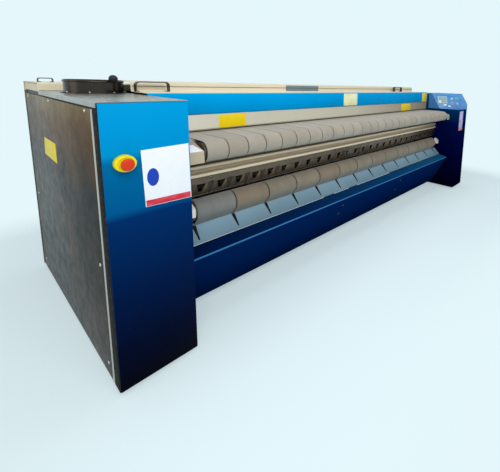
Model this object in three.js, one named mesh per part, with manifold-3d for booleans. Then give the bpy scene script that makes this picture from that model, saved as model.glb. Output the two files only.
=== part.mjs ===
// Flatwork ironer: a heated cylinder between two end cabinets, fed and emptied from the front.
// Units are millimetres. Inside the machine group x runs from the left outer side to the right,
// y from the cabinets' front face to the back and z up from the floor.
import * as THREE from "three";
import { mergeVertices } from "three/addons/utils/BufferGeometryUtils.js";
import Module from "manifold-3d";

const wasm = await Module();
wasm.setup();

// ---------------------------------------------------------------- driving sizes

// Overall
const LENGTH = 4600;
const DEPTH = 1700;
const CABINET_TOP = 1400;
const LEFT_CABINET_WIDTH = 376;
const RIGHT_CABINET_WIDTH = 349;
const CASING_FLOOR_GAP = 22;

// Sheet and plate
const SHEET = 2.5;
const BEND_RADIUS = 7;
const SEAM = 1;
const TOUCH = 0.4;
const END_PLATE_THICKNESS = 10;
const END_PLATE_SETBACK = 30;
const FRONT_PANEL_SIDE_RETURN = 14;
const SIDE_RECESS = 14;
const SIDE_PANEL_FRONT_GAP = 80;
const SIDE_PANEL_TOP_GAP = 34;
const SIDE_PANEL_EDGE_FOLD = 10;
const TOP_COVER_LIP = 24;
const BASE_LIP = 45;

// Rear top cover, hood and fascia
const REAR_TOP_FRONT = 1186;
const REAR_TOP_RISE = 48;
const HOOD_RISE = 77;
const HOOD_FRONT_FLANGE = 262;
const HOOD_HINGE_GAP = 8;
const FASCIA_FRONT = 500;
const FASCIA_BOTTOM = 1268;
const FASCIA_TOP = 1410;
const FASCIA_RETURN = 54;
const FASCIA_LOWER_RETURN = 26;
const REAR_COVER_BOTTOM = 60;
const REAR_LIP = 12;
const VENT_SLOT = { length: 200, height: 12, pitch: 34, count: 3, drop: 170 };
const VENT_FIELD_COUNT = 3;

// Finger guard flap over the feed bed
const FINGER_GUARD_SETBACK = 6;
const FINGER_GUARD_SLOT = 12;
const FINGER_GUARD_CURL = 10;

// Feed bed, its nose roller and its narrow belts
const NOSE_CENTRE = { y: 190, z: 1085 };
const NOSE_RADIUS = 56.5;
const FEED_REAR_RADIUS = 35;
const FEED_REAR_CLEARANCE = 8;
const BELT_THICKNESS = 3;
const BELT_COUNT = 26;
const BELT_GAP = 4;
const BAND_COUNT = 13;
const BAND_GAP = 6;
const BAND_THICKNESS = 4;
const BELT_RUNNING_GAP = 1.5;
const LEFT_END_MARGIN = 158;
const RIGHT_END_MARGIN = 101;
const ROLLER_OVERHANG = 12;
const BED_SETBACK = 84;
const BED_END_GAP = 52;
const BED_LIP = 26;

// Heated cylinder and the rollers of the ironing bands
const DRUM_CENTRE = { y: 1000, z: 760 };
const DRUM_RADIUS = 400;
const DRUM_WALL = 12;
const DRUM_END_GAP = 24;
const DRUM_RUNNING_GAP = 2;
const DRUM_JOURNAL_RADIUS = 45;
const DRUM_JOURNAL_BORE = 26;
const DRUM_JOURNAL_LENGTH = 74;
const BAND_ROLLER_RADIUS = 50;
const ENTRY_ROLLER_ANGLE = 22;
const CORNER_ROLLER_DISTANCE = 548;
const EXIT_CENTRE = { y: 345, z: 673 };
const EXIT_RADIUS = 62;
const JOURNAL_RADIUS = 20;
const JOURNAL_BORE = 12;
const JOURNAL_LENGTH = 34;
const ROLLER_WALL = 8;
const JOURNAL_CLEARANCE = 2.5;
const DRUM_BEARING_RADIUS = 95;
const DRUM_BEARING_LENGTH = 30;
const BAND_BAR = { height: 46, depth: 16, sink: 0.6 };

// Stripper fingers against the cylinder
const STRIPPER_ANGLE = 24;
const STRIPPER_TIP_GAP = 1.5;
const STRIPPER_REACH = 120;
const STRIPPER_WIDTH = 60;
const STRIPPER_RISE = 51;
const STRIPPER_BAR_RADIUS = 17;

// Pieces across the front, as heights and depths of their folds
const KICK_TOP = { y: 120, z: 469 };
const KICK_FOOT = { y: 325, z: 74 };
const KICK_FOOT_RETURN = 34;
const LEDGE_DEPTH = 120;
const LEDGE_RISE = 21;
const SLIDE_LOW = { y: 240, z: 496 };
const SLIDE_LENGTH = 121;
const SLIDE_BACK_FLANGE = 8;
const SLIDE_SLIT = { wide: 11, narrow: 3, share: 0.74 };
const GUARD_BAR = { front: 330, low: 885, high: 964, groove: 12, depth: 56, bend: 6, hollow: 0.2 };
const STRIP = { gap: 8, setback: 18, upper: 32, lower: 86, kick: 30, lip: 16 };
const STRIP_WINDOW = { width: 46, foot: 0.2, height: 44, drop: 10 };
const STRIP_NOTCH = { width: 9, depth: 12 };

// Cover over each end of the nose roller
const END_COVER = { front: 130, low: 1032, shoulder: 1100, slope: 130 };
const END_COVER_GAP = 4;

// Cross beams between the end plates
const BEAM = { height: 80, depth: 80, wall: 4, low: 60 };
const FRONT_BEAM_FRONT = 370;
const REAR_BEAM_GAP = 36;

// Levelling feet
const FOOT_RADIUS = 42;
const FOOT_STUD_RADIUS = 12;
const FOOT_PAD_HEIGHT = 10;
const FOOT_INSET_Y = 110;

// Exhaust on the left cabinet
const COLLAR = { x: 220, y: 890, radius: 150, wall: 3, height: 80, flange: 16, flangeHeight: 5, bead: 5 };
const COLLAR_KNOB = { radius: 24, reach: 167, bearing: -70, lift: 9 };
const FAN = { width: 170, wheelRadius: 120, gap: 14, wall: 3, growth: 44, z: 1180, offset: 82, x: 46 };
const FAN_INLET_RADIUS = 82;
const FAN_BLADES = 8;
const FAN_BLADE = { depth: 46, thickness: 4 };
const FAN_HUB_RADIUS = 26;
const FAN_SHAFT_RADIUS = 10;
const FAN_MOTOR = { radius: 66, length: 92, endRadius: 53 };

// Chain drive in the left cabinet
const CHAIN_PITCH = 38.1;
const DRUM_TEETH = 32;
const MOTOR_TEETH = 12;
const CHAIN = { width: 22, height: 30, gap: 0.8, back: 4 };
const SPROCKET_WIDTH = 14;
const SPROCKET_PLANE = 308;
const TOOTH = { rise: 9, root: 11, base: 0.72, tip: 0.2 };
const MOTOR_SPROCKET_Z = 236;
const GEARBOX = { width: 130, depth: 220, height: 210 };
const MOTOR = { radius: 72, length: 230, endRadius: 61 };
const OUTPUT_SHAFT_RADIUS = 20;
const ROTARY_JOINT = { radius: 40, length: 90, port: 18, reach: 70 };

// Control console on the right cabinet
const CONSOLE = { low: 1180, rise: 6, back: 470, footY: 290, topY: 430, skew: 0.958 };
const DISPLAY = { u: -118, v: 16, width: 120, height: 88, stand: 4, frame: 9 };
const BUTTONS = [
  { name: "button_yellow", u: 34, v: 38, colour: 0xd9d7b0 },
  { name: "button_green", u: 112, v: 38, colour: 0x4fb8a0 },
  { name: "button_red", u: 34, v: -40, colour: 0xc8485a },
  { name: "button_blue", u: 112, v: -40, colour: 0x9fc4e8 },
];
const BUTTON = { radius: 15, depth: 14, stand: 8, chamfer: 2, travel: 3, gap: 0.8 };

// Emergency stop on the left cabinet
const ESTOP = { x: 84, z: 1132, baseRadius: 42, baseDepth: 22, stemRadius: 11, stemStand: 16, travel: 6 };
const ESTOP_BASE_EDGE = { depth: 13, taper: 6 };
const MUSHROOM = { radius: 21, neck: 15, height: 16, swell: 6, shoulder: 11, dome: 3 };

// Grab handles
const HANDLE = { span: 178, height: 58, section: 14, bend: 16 };
const HOOD_HANDLE_SETBACK = 212;
const HOOD_HANDLE_LEFT_X = 486;
const HOOD_HANDLE_RIGHT_X = 3700;
const LOW_HANDLE = { x: 80, y: 1450, span: 62, height: 24, section: 10, bend: 9 };

// Facet counts
const DRUM_SIDES = 32;
const ROLLER_SIDES = 20;
const SMALL_SIDES = 12;
const HOLE_SIDES = 8;
const BEND_STEPS = 2;
const FAN_SCROLL_STEPS = 16;
const NOSE_STEP = 26;
const ROLLER_STEP = 45;
const REAR_STEP = 60;
const EXIT_STEP = 24;
const DRUM_STEP = 20;
const CHAIN_STEPS = [20, 9];

// ---------------------------------------------------------------- derived stations

const leftWall = LEFT_CABINET_WIDTH;
const rightWall = LENGTH - RIGHT_CABINET_WIDTH;
const workStart = leftWall + LEFT_END_MARGIN;
const workEnd = rightWall - RIGHT_END_MARGIN;
const beltPitch = (workEnd - workStart) / BELT_COUNT;
const bandPitch = (workEnd - workStart) / BAND_COUNT;
const rad = THREE.MathUtils.degToRad;

// ---------------------------------------------------------------- solids and geometry

function solid(geometry) {
  const bare = geometry.clone();
  bare.deleteAttribute("normal");
  bare.deleteAttribute("uv");
  const merged = mergeVertices(bare, 1e-4);
  return new wasm.Manifold(
    new wasm.Mesh({
      numProp: 3,
      vertProperties: new Float32Array(merged.attributes.position.array),
      triVerts: new Uint32Array(merged.index.array),
    }),
  );
}

function geometryOf(body) {
  const mesh = body.getMesh();
  const geometry = new THREE.BufferGeometry();
  geometry.setAttribute("position", new THREE.BufferAttribute(new Float32Array(mesh.vertProperties), 3));
  geometry.setIndex(new THREE.BufferAttribute(new Uint32Array(mesh.triVerts), 1));
  const flat = geometry.toNonIndexed();
  flat.computeVertexNormals();
  return flat;
}

function join(...geometries) {
  return geometryOf(geometries.map(solid).reduce((whole, next) => whole.add(next)));
}

function cut(geometry, ...tools) {
  return geometryOf(tools.map(solid).reduce((whole, tool) => whole.subtract(tool), solid(geometry)));
}

function box(x0, x1, y0, y1, z0, z1) {
  const geometry = new THREE.BoxGeometry(x1 - x0, y1 - y0, z1 - z0);
  return geometry.translate((x0 + x1) / 2, (y0 + y1) / 2, (z0 + z1) / 2);
}

function shapeOf(points, holes = []) {
  const shape = new THREE.Shape(points.map(([a, b]) => new THREE.Vector2(a, b)));
  for (const hole of holes) shape.holes.push(new THREE.Path(hole.map(([a, b]) => new THREE.Vector2(a, b))));
  return shape;
}

function extruded(points, length, holes) {
  return new THREE.ExtrudeGeometry(shapeOf(points, holes), { depth: length, bevelEnabled: false, steps: 1 });
}

// An outline given as (y, z) pairs, run along x.
function alongX(points, x0, x1, holes) {
  const turn = new THREE.Matrix4().makeBasis(
    new THREE.Vector3(0, 1, 0), new THREE.Vector3(0, 0, 1), new THREE.Vector3(1, 0, 0));
  return extruded(points, x1 - x0, holes).applyMatrix4(turn).translate(x0, 0, 0);
}

// An outline given as (x, z) pairs, run along y.
function alongY(points, y0, y1, holes) {
  const turn = new THREE.Matrix4().makeBasis(
    new THREE.Vector3(1, 0, 0), new THREE.Vector3(0, 0, 1), new THREE.Vector3(0, -1, 0));
  return extruded(points, y1 - y0, holes).applyMatrix4(turn).translate(0, y1, 0);
}

// An outline given as (x, y) pairs, run along z.
function alongZ(points, z0, z1, holes) {
  return extruded(points, z1 - z0, holes).translate(0, 0, z0);
}

// A closed profile of (radius, station) pairs turned about an axis along x, y or z.
function turned(profile, sides, axis, y, z, x = 0) {
  const geometry = new THREE.LatheGeometry(profile.map(([r, s]) => new THREE.Vector2(r, s)), sides);
  if (axis === "x") geometry.rotateZ(-Math.PI / 2);
  if (axis === "z") geometry.rotateX(Math.PI / 2);
  return geometry.translate(x, y, z);
}

function disc(radius, x0, x1, y, z, sides) {
  return turned([[0, x0], [radius, x0], [radius, x1], [0, x1]], sides, "x", y, z);
}

function circle(radius, cy, cz, sides) {
  return Array.from({ length: sides }, (_, i) => {
    const a = (2 * Math.PI * i) / sides;
    return [cy + radius * Math.cos(a), cz + radius * Math.sin(a)];
  });
}

// Rounds the inner corners of an open path with arcs of one radius.
function filleted(path, radius, steps = BEND_STEPS) {
  const out = [path[0]];
  for (let i = 1; i < path.length - 1; i++) {
    const here = new THREE.Vector2(...path[i]);
    const back = new THREE.Vector2(...path[i - 1]).sub(here);
    const on = new THREE.Vector2(...path[i + 1]).sub(here);
    const reach = Math.min(back.length(), on.length()) * 0.49;
    back.normalize();
    on.normalize();
    const half = Math.acos(THREE.MathUtils.clamp(back.dot(on), -1, 1)) / 2;
    const trim = Math.min(radius / Math.tan(half), reach);
    const bend = trim * Math.tan(half);
    const middle = back.clone().add(on).normalize().multiplyScalar(bend / Math.sin(half)).add(here);
    const start = here.clone().addScaledVector(back, trim).sub(middle);
    const sweep = (Math.PI - 2 * half) * Math.sign(on.cross(back));
    for (let k = 0; k <= steps; k++) {
      const p = start.clone().rotateAround(new THREE.Vector2(), (sweep * k) / steps).add(middle);
      out.push([p.x, p.y]);
    }
  }
  out.push(path[path.length - 1]);
  return out;
}

// The far side of an open path, a distance to its left.
function offsetPath(path, distance) {
  return path.map((point, i) => {
    const here = new THREE.Vector2(...point);
    const before = new THREE.Vector2(...(path[i - 1] ?? point));
    const after = new THREE.Vector2(...(path[i + 1] ?? point));
    const a = here.clone().sub(before).normalize();
    const b = after.clone().sub(here).normalize();
    const first = i === 0 ? b : a;
    const last = i === path.length - 1 ? a : b;
    const normal = new THREE.Vector2(-(first.y + last.y), first.x + last.x).normalize();
    const mitre = distance / Math.max(0.2, normal.dot(new THREE.Vector2(-first.y, first.x)));
    return [here.x + normal.x * mitre, here.y + normal.y * mitre];
  });
}

// A bent sheet's section: the path is one face, the sheet lies to its left (or right, when negative).
function sheetSection(path, thickness = SHEET, radius = BEND_RADIUS) {
  const face = radius > 0 ? filleted(path, radius) : path;
  const far = offsetPath(face, thickness);
  return [...face, ...far.reverse()];
}

// A closed path round wheels: sense 1 passes outside the wheel, -1 lets the wheel press in from outside.
// Its edges are tangent to the wheels, so however few they are they never cut into one.
function beltPath(wheels, offset, stepDegrees) {
  const rim = wheels.map((w) => ({ ...w, r: w.sense > 0 ? w.radius + offset : w.radius - offset }));
  const leave = rim.map((a, i) => {
    const b = rim[(i + 1) % rim.length];
    const along = Math.atan2(b.z - a.z, b.y - a.y);
    const length = Math.hypot(b.z - a.z, b.y - a.y);
    const lean = Math.acos((a.sense * a.r - b.sense * b.r) / length);
    const normal = along - lean;
    return { out: a.sense > 0 ? normal : normal + Math.PI, into: b.sense > 0 ? normal : normal + Math.PI };
  });
  const points = [];
  rim.forEach((w, i) => {
    const from = leave[(i - 1 + rim.length) % rim.length].into;
    let sweep = leave[i].out - from;
    const turn = 2 * Math.PI;
    sweep = w.sense > 0 ? ((sweep % turn) + turn) % turn : -((((-sweep) % turn) + turn) % turn);
    const steps = Math.max(1, Math.round(Math.abs(sweep) / rad(stepDegrees[i])));
    const corner = w.r / Math.cos(sweep / steps / 2);
    for (let k = 0; k < steps; k++) {
      const a = from + (sweep * (k + 0.5)) / steps;
      points.push([w.y + corner * Math.cos(a), w.z + corner * Math.sin(a)]);
    }
  });
  return points;
}

function mesh(name, geometry, look) {
  const piece = new THREE.Mesh(geometry, new THREE.MeshStandardMaterial(look));
  piece.name = name;
  return piece;
}

// The origin is on the floor, under the middle of the machine's box; the stop button reaches past the front.
const stopReach = ESTOP.baseDepth + ESTOP.stemStand + TOUCH + MUSHROOM.height + MUSHROOM.dome;
const machine = new THREE.Group();
machine.position.set(-LENGTH / 2, -(DEPTH - stopReach) / 2, 0);

function add(name, geometry, look) {
  machine.add(mesh(name, geometry, look));
}

// ---------------------------------------------------------------- finishes

const BLUE = { color: 0x0a6fb8, roughness: 0.25, metalness: 0.1 };
const LIGHT_BLUE = { color: 0x2f8fd0, roughness: 0.35, metalness: 0.05 };
const STEEL = { color: 0xb9b4a6, roughness: 0.32, metalness: 0.9 };
const DARK_STEEL = { color: 0x4a443d, roughness: 0.45, metalness: 0.7 };
const CREAM = { color: 0xd9d2bf, roughness: 0.5, metalness: 0.1 };
const BLACK = { color: 0x1a1a1c, roughness: 0.6, metalness: 0.1 };
const BELT = { color: 0x9a9182, roughness: 0.9, metalness: 0 };
const PALE = { color: 0xa9bccb, roughness: 0.4, metalness: 0.3 };
const IRON = { color: 0x55585c, roughness: 0.6, metalness: 0.6 };
const YELLOW = { color: 0xe8c21a, roughness: 0.45, metalness: 0 };
const RED = { color: 0xc8222a, roughness: 0.4, metalness: 0 };

// ---------------------------------------------------------------- rollers: where each one turns

const noseBeltRadius = NOSE_RADIUS + BELT_RUNNING_GAP;
const feedRearBeltRadius = FEED_REAR_RADIUS + BELT_RUNNING_GAP;
const feedRearZ = NOSE_CENTRE.z + NOSE_RADIUS - FEED_REAR_RADIUS;
const feedRearReach = DRUM_RADIUS + FEED_REAR_CLEARANCE + feedRearBeltRadius + BELT_THICKNESS;
const feedRearY = DRUM_CENTRE.y - Math.sqrt(feedRearReach ** 2 - (feedRearZ - DRUM_CENTRE.z) ** 2);
const bedTop = NOSE_CENTRE.z + noseBeltRadius + BELT_THICKNESS;
const entryReach = DRUM_RADIUS + DRUM_RUNNING_GAP + BAND_THICKNESS + BELT_RUNNING_GAP + BAND_ROLLER_RADIUS;
const cornerOffset = CORNER_ROLLER_DISTANCE * Math.SQRT1_2;

const ROLLERS = {
  entry_roller: {
    y: DRUM_CENTRE.y - entryReach * Math.sin(rad(ENTRY_ROLLER_ANGLE)),
    z: DRUM_CENTRE.z + entryReach * Math.cos(rad(ENTRY_ROLLER_ANGLE)),
    radius: BAND_ROLLER_RADIUS, sides: SMALL_SIDES,
  },
  upper_rear_roller: {
    y: DRUM_CENTRE.y + cornerOffset, z: DRUM_CENTRE.z + cornerOffset, radius: BAND_ROLLER_RADIUS, sides: SMALL_SIDES,
  },
  lower_rear_roller: {
    y: DRUM_CENTRE.y + cornerOffset, z: DRUM_CENTRE.z - cornerOffset, radius: BAND_ROLLER_RADIUS, sides: SMALL_SIDES,
  },
  lower_front_roller: {
    y: DRUM_CENTRE.y - cornerOffset, z: DRUM_CENTRE.z - cornerOffset, radius: BAND_ROLLER_RADIUS, sides: SMALL_SIDES,
  },
  exit_roller: { ...EXIT_CENTRE, radius: EXIT_RADIUS, sides: ROLLER_SIDES },
  nose_roller: { ...NOSE_CENTRE, radius: NOSE_RADIUS, sides: ROLLER_SIDES },
  feed_rear_roller: { y: feedRearY, z: feedRearZ, radius: FEED_REAR_RADIUS, sides: SMALL_SIDES },
};

// ---------------------------------------------------------------- end plates with their bearing bosses

const plateFront = END_PLATE_SETBACK;
const plateBack = DEPTH - SHEET - SEAM;
const plateTop = CABINET_TOP - SHEET - SEAM;

function endPlate(name, outline, x0, outward) {
  const x1 = x0 + END_PLATE_THICKNESS;
  const holes = Object.values(ROLLERS).map((r) =>
    circle(JOURNAL_RADIUS + JOURNAL_CLEARANCE, r.y, r.z, HOLE_SIDES));
  holes.push(circle(DRUM_JOURNAL_RADIUS + JOURNAL_CLEARANCE, DRUM_CENTRE.y, DRUM_CENTRE.z, ROLLER_SIDES));
  const from = outward < 0 ? x0 - DRUM_BEARING_LENGTH : x1 - TOUCH;
  const to = outward < 0 ? x0 + TOUCH : x1 + DRUM_BEARING_LENGTH;
  const bearing = alongX(circle(DRUM_BEARING_RADIUS, DRUM_CENTRE.y, DRUM_CENTRE.z, ROLLER_SIDES), from, to,
    [circle(DRUM_JOURNAL_RADIUS + JOURNAL_CLEARANCE, DRUM_CENTRE.y, DRUM_CENTRE.z, ROLLER_SIDES)]);
  add(name, join(alongX(outline, x0, x1, holes), bearing), BLUE);
}

endPlate("left_end_plate",
  [[plateFront, CASING_FLOOR_GAP], [plateBack, CASING_FLOOR_GAP], [plateBack, plateTop], [plateFront, plateTop]],
  leftWall - END_PLATE_THICKNESS, -1);
endPlate("right_end_plate",
  [[plateFront, CASING_FLOOR_GAP], [plateBack, CASING_FLOOR_GAP], [plateBack, plateTop],
    [CONSOLE.back + SEAM, plateTop], [CONSOLE.back + SEAM, CONSOLE.low - SEAM], [plateFront, CONSOLE.low - SEAM]],
  rightWall, 1);

// ---------------------------------------------------------------- cabinet casings

// Mirrors an x station into the right cabinet, so both cabinets share one description.
const leftSide = { at: (x) => x, wall: leftWall, name: "left" };
const rightSide = { at: (x) => LENGTH - x, wall: RIGHT_CABINET_WIDTH, name: "right" };

function sideways(side, points) {
  const moved = points.map(([x, b]) => [side.at(x), b]);
  return side === rightSide ? moved.reverse() : moved;
}

function cabinetFront(side, top) {
  const path = [
    [0, FRONT_PANEL_SIDE_RETURN], [0, 0], [side.wall, 0], [side.wall, END_PLATE_SETBACK - SEAM],
  ];
  return alongZ(sideways(side, sheetSection(path)), CASING_FLOOR_GAP, top);
}

// The inner wall behind the side panel, folded along the bottom into the cabinet's floor.
function cabinetFrame(side) {
  const floorEnd = side.wall - END_PLATE_THICKNESS - SEAM;
  const path = [
    [SIDE_RECESS, plateTop - SEAM], [SIDE_RECESS, CASING_FLOOR_GAP],
    [floorEnd, CASING_FLOOR_GAP], [floorEnd, CASING_FLOOR_GAP + BASE_LIP],
  ];
  const front = SHEET + SEAM;
  return alongY(sideways(side, sheetSection(path)), front, plateBack);
}

function sidePanel(side) {
  const front = SIDE_PANEL_FRONT_GAP;
  const back = plateBack - SIDE_PANEL_EDGE_FOLD;
  const top = CABINET_TOP - SIDE_PANEL_TOP_GAP;
  const inner = SIDE_RECESS - TOUCH;
  const path = [[inner, front], [0, front], [0, back], [inner, back]];
  return alongZ(sideways(side, sheetSection(path, -SHEET, BEND_RADIUS / 2)), CASING_FLOOR_GAP + SEAM, top);
}

// The room that the console takes out of the right cabinet's outer corner.
function consoleRoom() {
  return box(LENGTH - SIDE_RECESS * 2, LENGTH + SIDE_RECESS, 0, CONSOLE.back + SEAM, CONSOLE.low - SEAM,
    CABINET_TOP + REAR_TOP_RISE);
}

function topCover(side, front, back) {
  const path = [[0, CABINET_TOP - TOP_COVER_LIP], [0, CABINET_TOP], [side.wall, CABINET_TOP]];
  const cover = alongY(sideways(side, sheetSection(path, -SHEET)), front, back);
  const corner = [side.at(-SEAM), side.at(BEND_RADIUS)].sort((a, b) => a - b);
  return cut(cover, box(...corner, -SEAM, FRONT_PANEL_SIDE_RETURN + SEAM, 0, plateTop + SEAM / 2));
}

function rearCover(side) {
  const x0 = Math.min(side.at(0), side.at(side.wall - SEAM));
  const x1 = Math.max(side.at(0), side.at(side.wall - SEAM));
  return box(x0, x1, DEPTH - SHEET, DEPTH, CASING_FLOOR_GAP, CABINET_TOP - REAR_LIP - SEAM);
}

const coverBack = REAR_TOP_FRONT - SEAM;
add("left_front_panel", cabinetFront(leftSide, plateTop), BLUE);
add("left_cabinet_frame", cabinetFrame(leftSide), BLACK);
add("left_side_panel", sidePanel(leftSide), STEEL);
const collarBore = COLLAR.radius - COLLAR.wall;
add("left_top_cover", cut(topCover(leftSide, 0, coverBack),
  turned([[0, CABINET_TOP - BASE_LIP], [collarBore, CABINET_TOP - BASE_LIP],
    [collarBore, CABINET_TOP + BASE_LIP], [0, CABINET_TOP + BASE_LIP]],
  ROLLER_SIDES, "z", COLLAR.y, 0, COLLAR.x)), STEEL);
add("left_rear_cover", rearCover(leftSide), BLUE);
add("right_front_panel", cabinetFront(rightSide, CONSOLE.low - SEAM), BLUE);
add("right_cabinet_frame", cut(cabinetFrame(rightSide), consoleRoom()), BLACK);
add("right_side_panel", cut(sidePanel(rightSide), consoleRoom()), STEEL);
add("right_top_cover", topCover(rightSide, CONSOLE.back + SEAM, coverBack), STEEL);
add("right_rear_cover", rearCover(rightSide), BLUE);

// ---------------------------------------------------------------- levelling feet

function foot(x, y) {
  const top = CASING_FLOOR_GAP - TOUCH;
  const profile = [[0, 0], [FOOT_RADIUS, 0], [FOOT_RADIUS, FOOT_PAD_HEIGHT / 2],
    [FOOT_STUD_RADIUS, FOOT_PAD_HEIGHT], [FOOT_STUD_RADIUS, top], [0, top]];
  return turned(profile, SMALL_SIDES, "z", y, 0, x);
}
for (const side of [leftSide, rightSide]) {
  const middle = side.at(side.wall / 2);
  add(side.name + "_front_foot", foot(middle, FOOT_INSET_Y), BLACK);
  add(side.name + "_rear_foot", foot(middle, DEPTH - FOOT_INSET_Y), BLACK);
}

// ---------------------------------------------------------------- cross beams

function crossBeam(front) {
  const outline = (inset) => [
    [front + inset, BEAM.low + inset], [front + BEAM.depth - inset, BEAM.low + inset],
    [front + BEAM.depth - inset, BEAM.low + BEAM.height - inset], [front + inset, BEAM.low + BEAM.height - inset],
  ];
  return alongX(outline(0), leftWall + TOUCH, rightWall - TOUCH, [outline(BEAM.wall)]);
}
add("front_cross_beam", crossBeam(FRONT_BEAM_FRONT), IRON);
add("rear_cross_beam", crossBeam(DEPTH - REAR_BEAM_GAP - BEAM.depth), IRON);

// ---------------------------------------------------------------- front and top skins between the cabinets

const skinStart = leftWall + SEAM;
const skinEnd = rightWall - SEAM;

add("kick_panel", alongX(sheetSection([
  [KICK_TOP.y + LEDGE_DEPTH, KICK_TOP.z + LEDGE_RISE], [KICK_TOP.y, KICK_TOP.z],
  [KICK_FOOT.y, KICK_FOOT.z], [KICK_FOOT.y + KICK_FOOT_RETURN, KICK_FOOT.z],
]), skinStart, skinEnd), BLUE);

const slideRun = SLIDE_LENGTH * Math.SQRT1_2;
const slideTop = { y: SLIDE_LOW.y + slideRun, z: SLIDE_LOW.z + slideRun };
const slideSlits = Array.from({ length: BAND_COUNT + 1 }, (_, i) => {
  const x = workStart + i * bandPitch;
  const low = 1 - SLIDE_SLIT.share;
  const reach = SLIDE_BACK_FLANGE - SHEET;
  const foot = { y: SLIDE_LOW.y + slideRun * low, z: SLIDE_LOW.z + slideRun * low };
  const blade = alongZ([[x - SLIDE_SLIT.narrow / 2, foot.y], [x + SLIDE_SLIT.narrow / 2, foot.y],
    [x + SLIDE_SLIT.wide / 2, slideTop.y + reach], [x - SLIDE_SLIT.wide / 2, slideTop.y + reach]],
  foot.z - reach, slideTop.z + reach);
  return blade;
});
add("slide_plate", cut(alongX(sheetSection([
  [SLIDE_LOW.y, SLIDE_LOW.z], [slideTop.y, slideTop.z], [slideTop.y + SLIDE_BACK_FLANGE, slideTop.z],
], -SHEET, 0), skinStart, skinEnd), ...slideSlits), PALE);

// The guard profile under the nose roller: two rounded ridges with a groove between.
const guardHeight = GUARD_BAR.high - GUARD_BAR.low;
const guardRidge = guardHeight / 4;
const grooveY = GUARD_BAR.front + GUARD_BAR.groove;
const grooveHalf = (guardHeight * GUARD_BAR.hollow) / 2;
const grooveZ = (GUARD_BAR.high + GUARD_BAR.low) / 2;
add("nip_guard_bar", alongX(sheetSection([
  [GUARD_BAR.front + GUARD_BAR.depth, GUARD_BAR.high], [GUARD_BAR.front, GUARD_BAR.high],
  [GUARD_BAR.front, GUARD_BAR.high - guardRidge], [grooveY, grooveZ + grooveHalf],
  [grooveY, grooveZ - grooveHalf], [GUARD_BAR.front, GUARD_BAR.low + guardRidge],
  [GUARD_BAR.front, GUARD_BAR.low], [GUARD_BAR.front + GUARD_BAR.depth, GUARD_BAR.low],
], SHEET, GUARD_BAR.bend), skinStart, skinEnd), STEEL);

// The perforated strip above the exit gap, with one window and one notch to each feed belt.
const stripFront = GUARD_BAR.front + STRIP.setback;
const stripTop = GUARD_BAR.low - STRIP.gap;
const stripFold = stripTop - STRIP.upper;
const stripPath = [
  [stripFront + STRIP.lip, stripTop], [stripFront, stripTop], [stripFront, stripFold],
  [stripFront + STRIP.kick, stripFold - STRIP.lower],
];
const windowTop = stripFold - STRIP_WINDOW.drop;
const stripCuts = [];
for (let i = 0; i < BELT_COUNT; i++) {
  const x = workStart + i * beltPitch;
  const reach = STRIP_WINDOW.width / 2;
  stripCuts.push(alongY([[x - reach, windowTop], [x - reach * STRIP_WINDOW.foot, windowTop - STRIP_WINDOW.height],
    [x + reach, windowTop]], stripFront - STRIP.lip, stripFront + STRIP.kick + STRIP.lip));
  const notch = x + beltPitch / 2;
  stripCuts.push(box(notch - STRIP_NOTCH.width / 2, notch + STRIP_NOTCH.width / 2,
    stripFront - STRIP.lip, stripFront + STRIP.lip + SHEET * 2,
    stripTop - STRIP_NOTCH.depth, stripTop + STRIP.lip));
}
add("belt_guide_strip", cut(alongX(sheetSection(stripPath, SHEET, 0), skinStart, skinEnd), ...stripCuts), STEEL);

add("fascia", alongX(sheetSection([
  [FASCIA_FRONT + FASCIA_RETURN, FASCIA_TOP], [FASCIA_FRONT, FASCIA_TOP], [FASCIA_FRONT, FASCIA_BOTTOM],
  [FASCIA_FRONT + FASCIA_LOWER_RETURN, FASCIA_BOTTOM],
]), skinStart, skinEnd), BLUE);

const guardY = FASCIA_FRONT + FINGER_GUARD_SETBACK;
add("finger_guard", alongX(sheetSection([
  [guardY, FASCIA_BOTTOM - SEAM], [guardY, bedTop + FINGER_GUARD_SLOT + FINGER_GUARD_CURL],
  [guardY + FINGER_GUARD_CURL, bedTop + FINGER_GUARD_SLOT],
], SHEET, BEND_RADIUS), skinStart + SEAM, skinEnd - SEAM), CREAM);

const hoodTop = CABINET_TOP + HOOD_RISE;
const hoodBack = REAR_TOP_FRONT - HOOD_HINGE_GAP;
const hoodFlangeZ = FASCIA_TOP + SEAM + SHEET;
const riserY = FASCIA_FRONT + SHEET + HOOD_FRONT_FLANGE;
add("hood", alongX(sheetSection([
  [FASCIA_FRONT + SHEET * 2, hoodFlangeZ], [riserY, hoodFlangeZ], [riserY + BEND_RADIUS, hoodTop],
  [hoodBack, hoodTop],
], -SHEET), skinStart + SEAM, skinEnd - SEAM), CREAM);

const rearTop = CABINET_TOP + REAR_TOP_RISE;
add("rear_top_cover", alongX(sheetSection([
  [REAR_TOP_FRONT, CABINET_TOP + SEAM], [REAR_TOP_FRONT, rearTop], [DEPTH, rearTop],
  [DEPTH, CABINET_TOP - REAR_LIP],
], -SHEET), 0, LENGTH), CREAM);

const ventSlots = [];
for (let field = 0; field < VENT_FIELD_COUNT; field++) {
  const centre = leftWall + ((field + 0.5) * (rightWall - leftWall)) / VENT_FIELD_COUNT;
  for (let i = 0; i < VENT_SLOT.count; i++) {
    const z = CABINET_TOP - VENT_SLOT.drop - i * VENT_SLOT.pitch;
    ventSlots.push(box(centre - VENT_SLOT.length / 2, centre + VENT_SLOT.length / 2,
      DEPTH - SHEET * 3, DEPTH + SHEET, z, z + VENT_SLOT.height));
  }
}
add("rear_cover", cut(box(skinStart, skinEnd, DEPTH - SHEET, DEPTH, REAR_COVER_BOTTOM,
  CABINET_TOP - REAR_LIP - SEAM), ...ventSlots), BLUE);

// ---------------------------------------------------------------- grab handles

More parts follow.
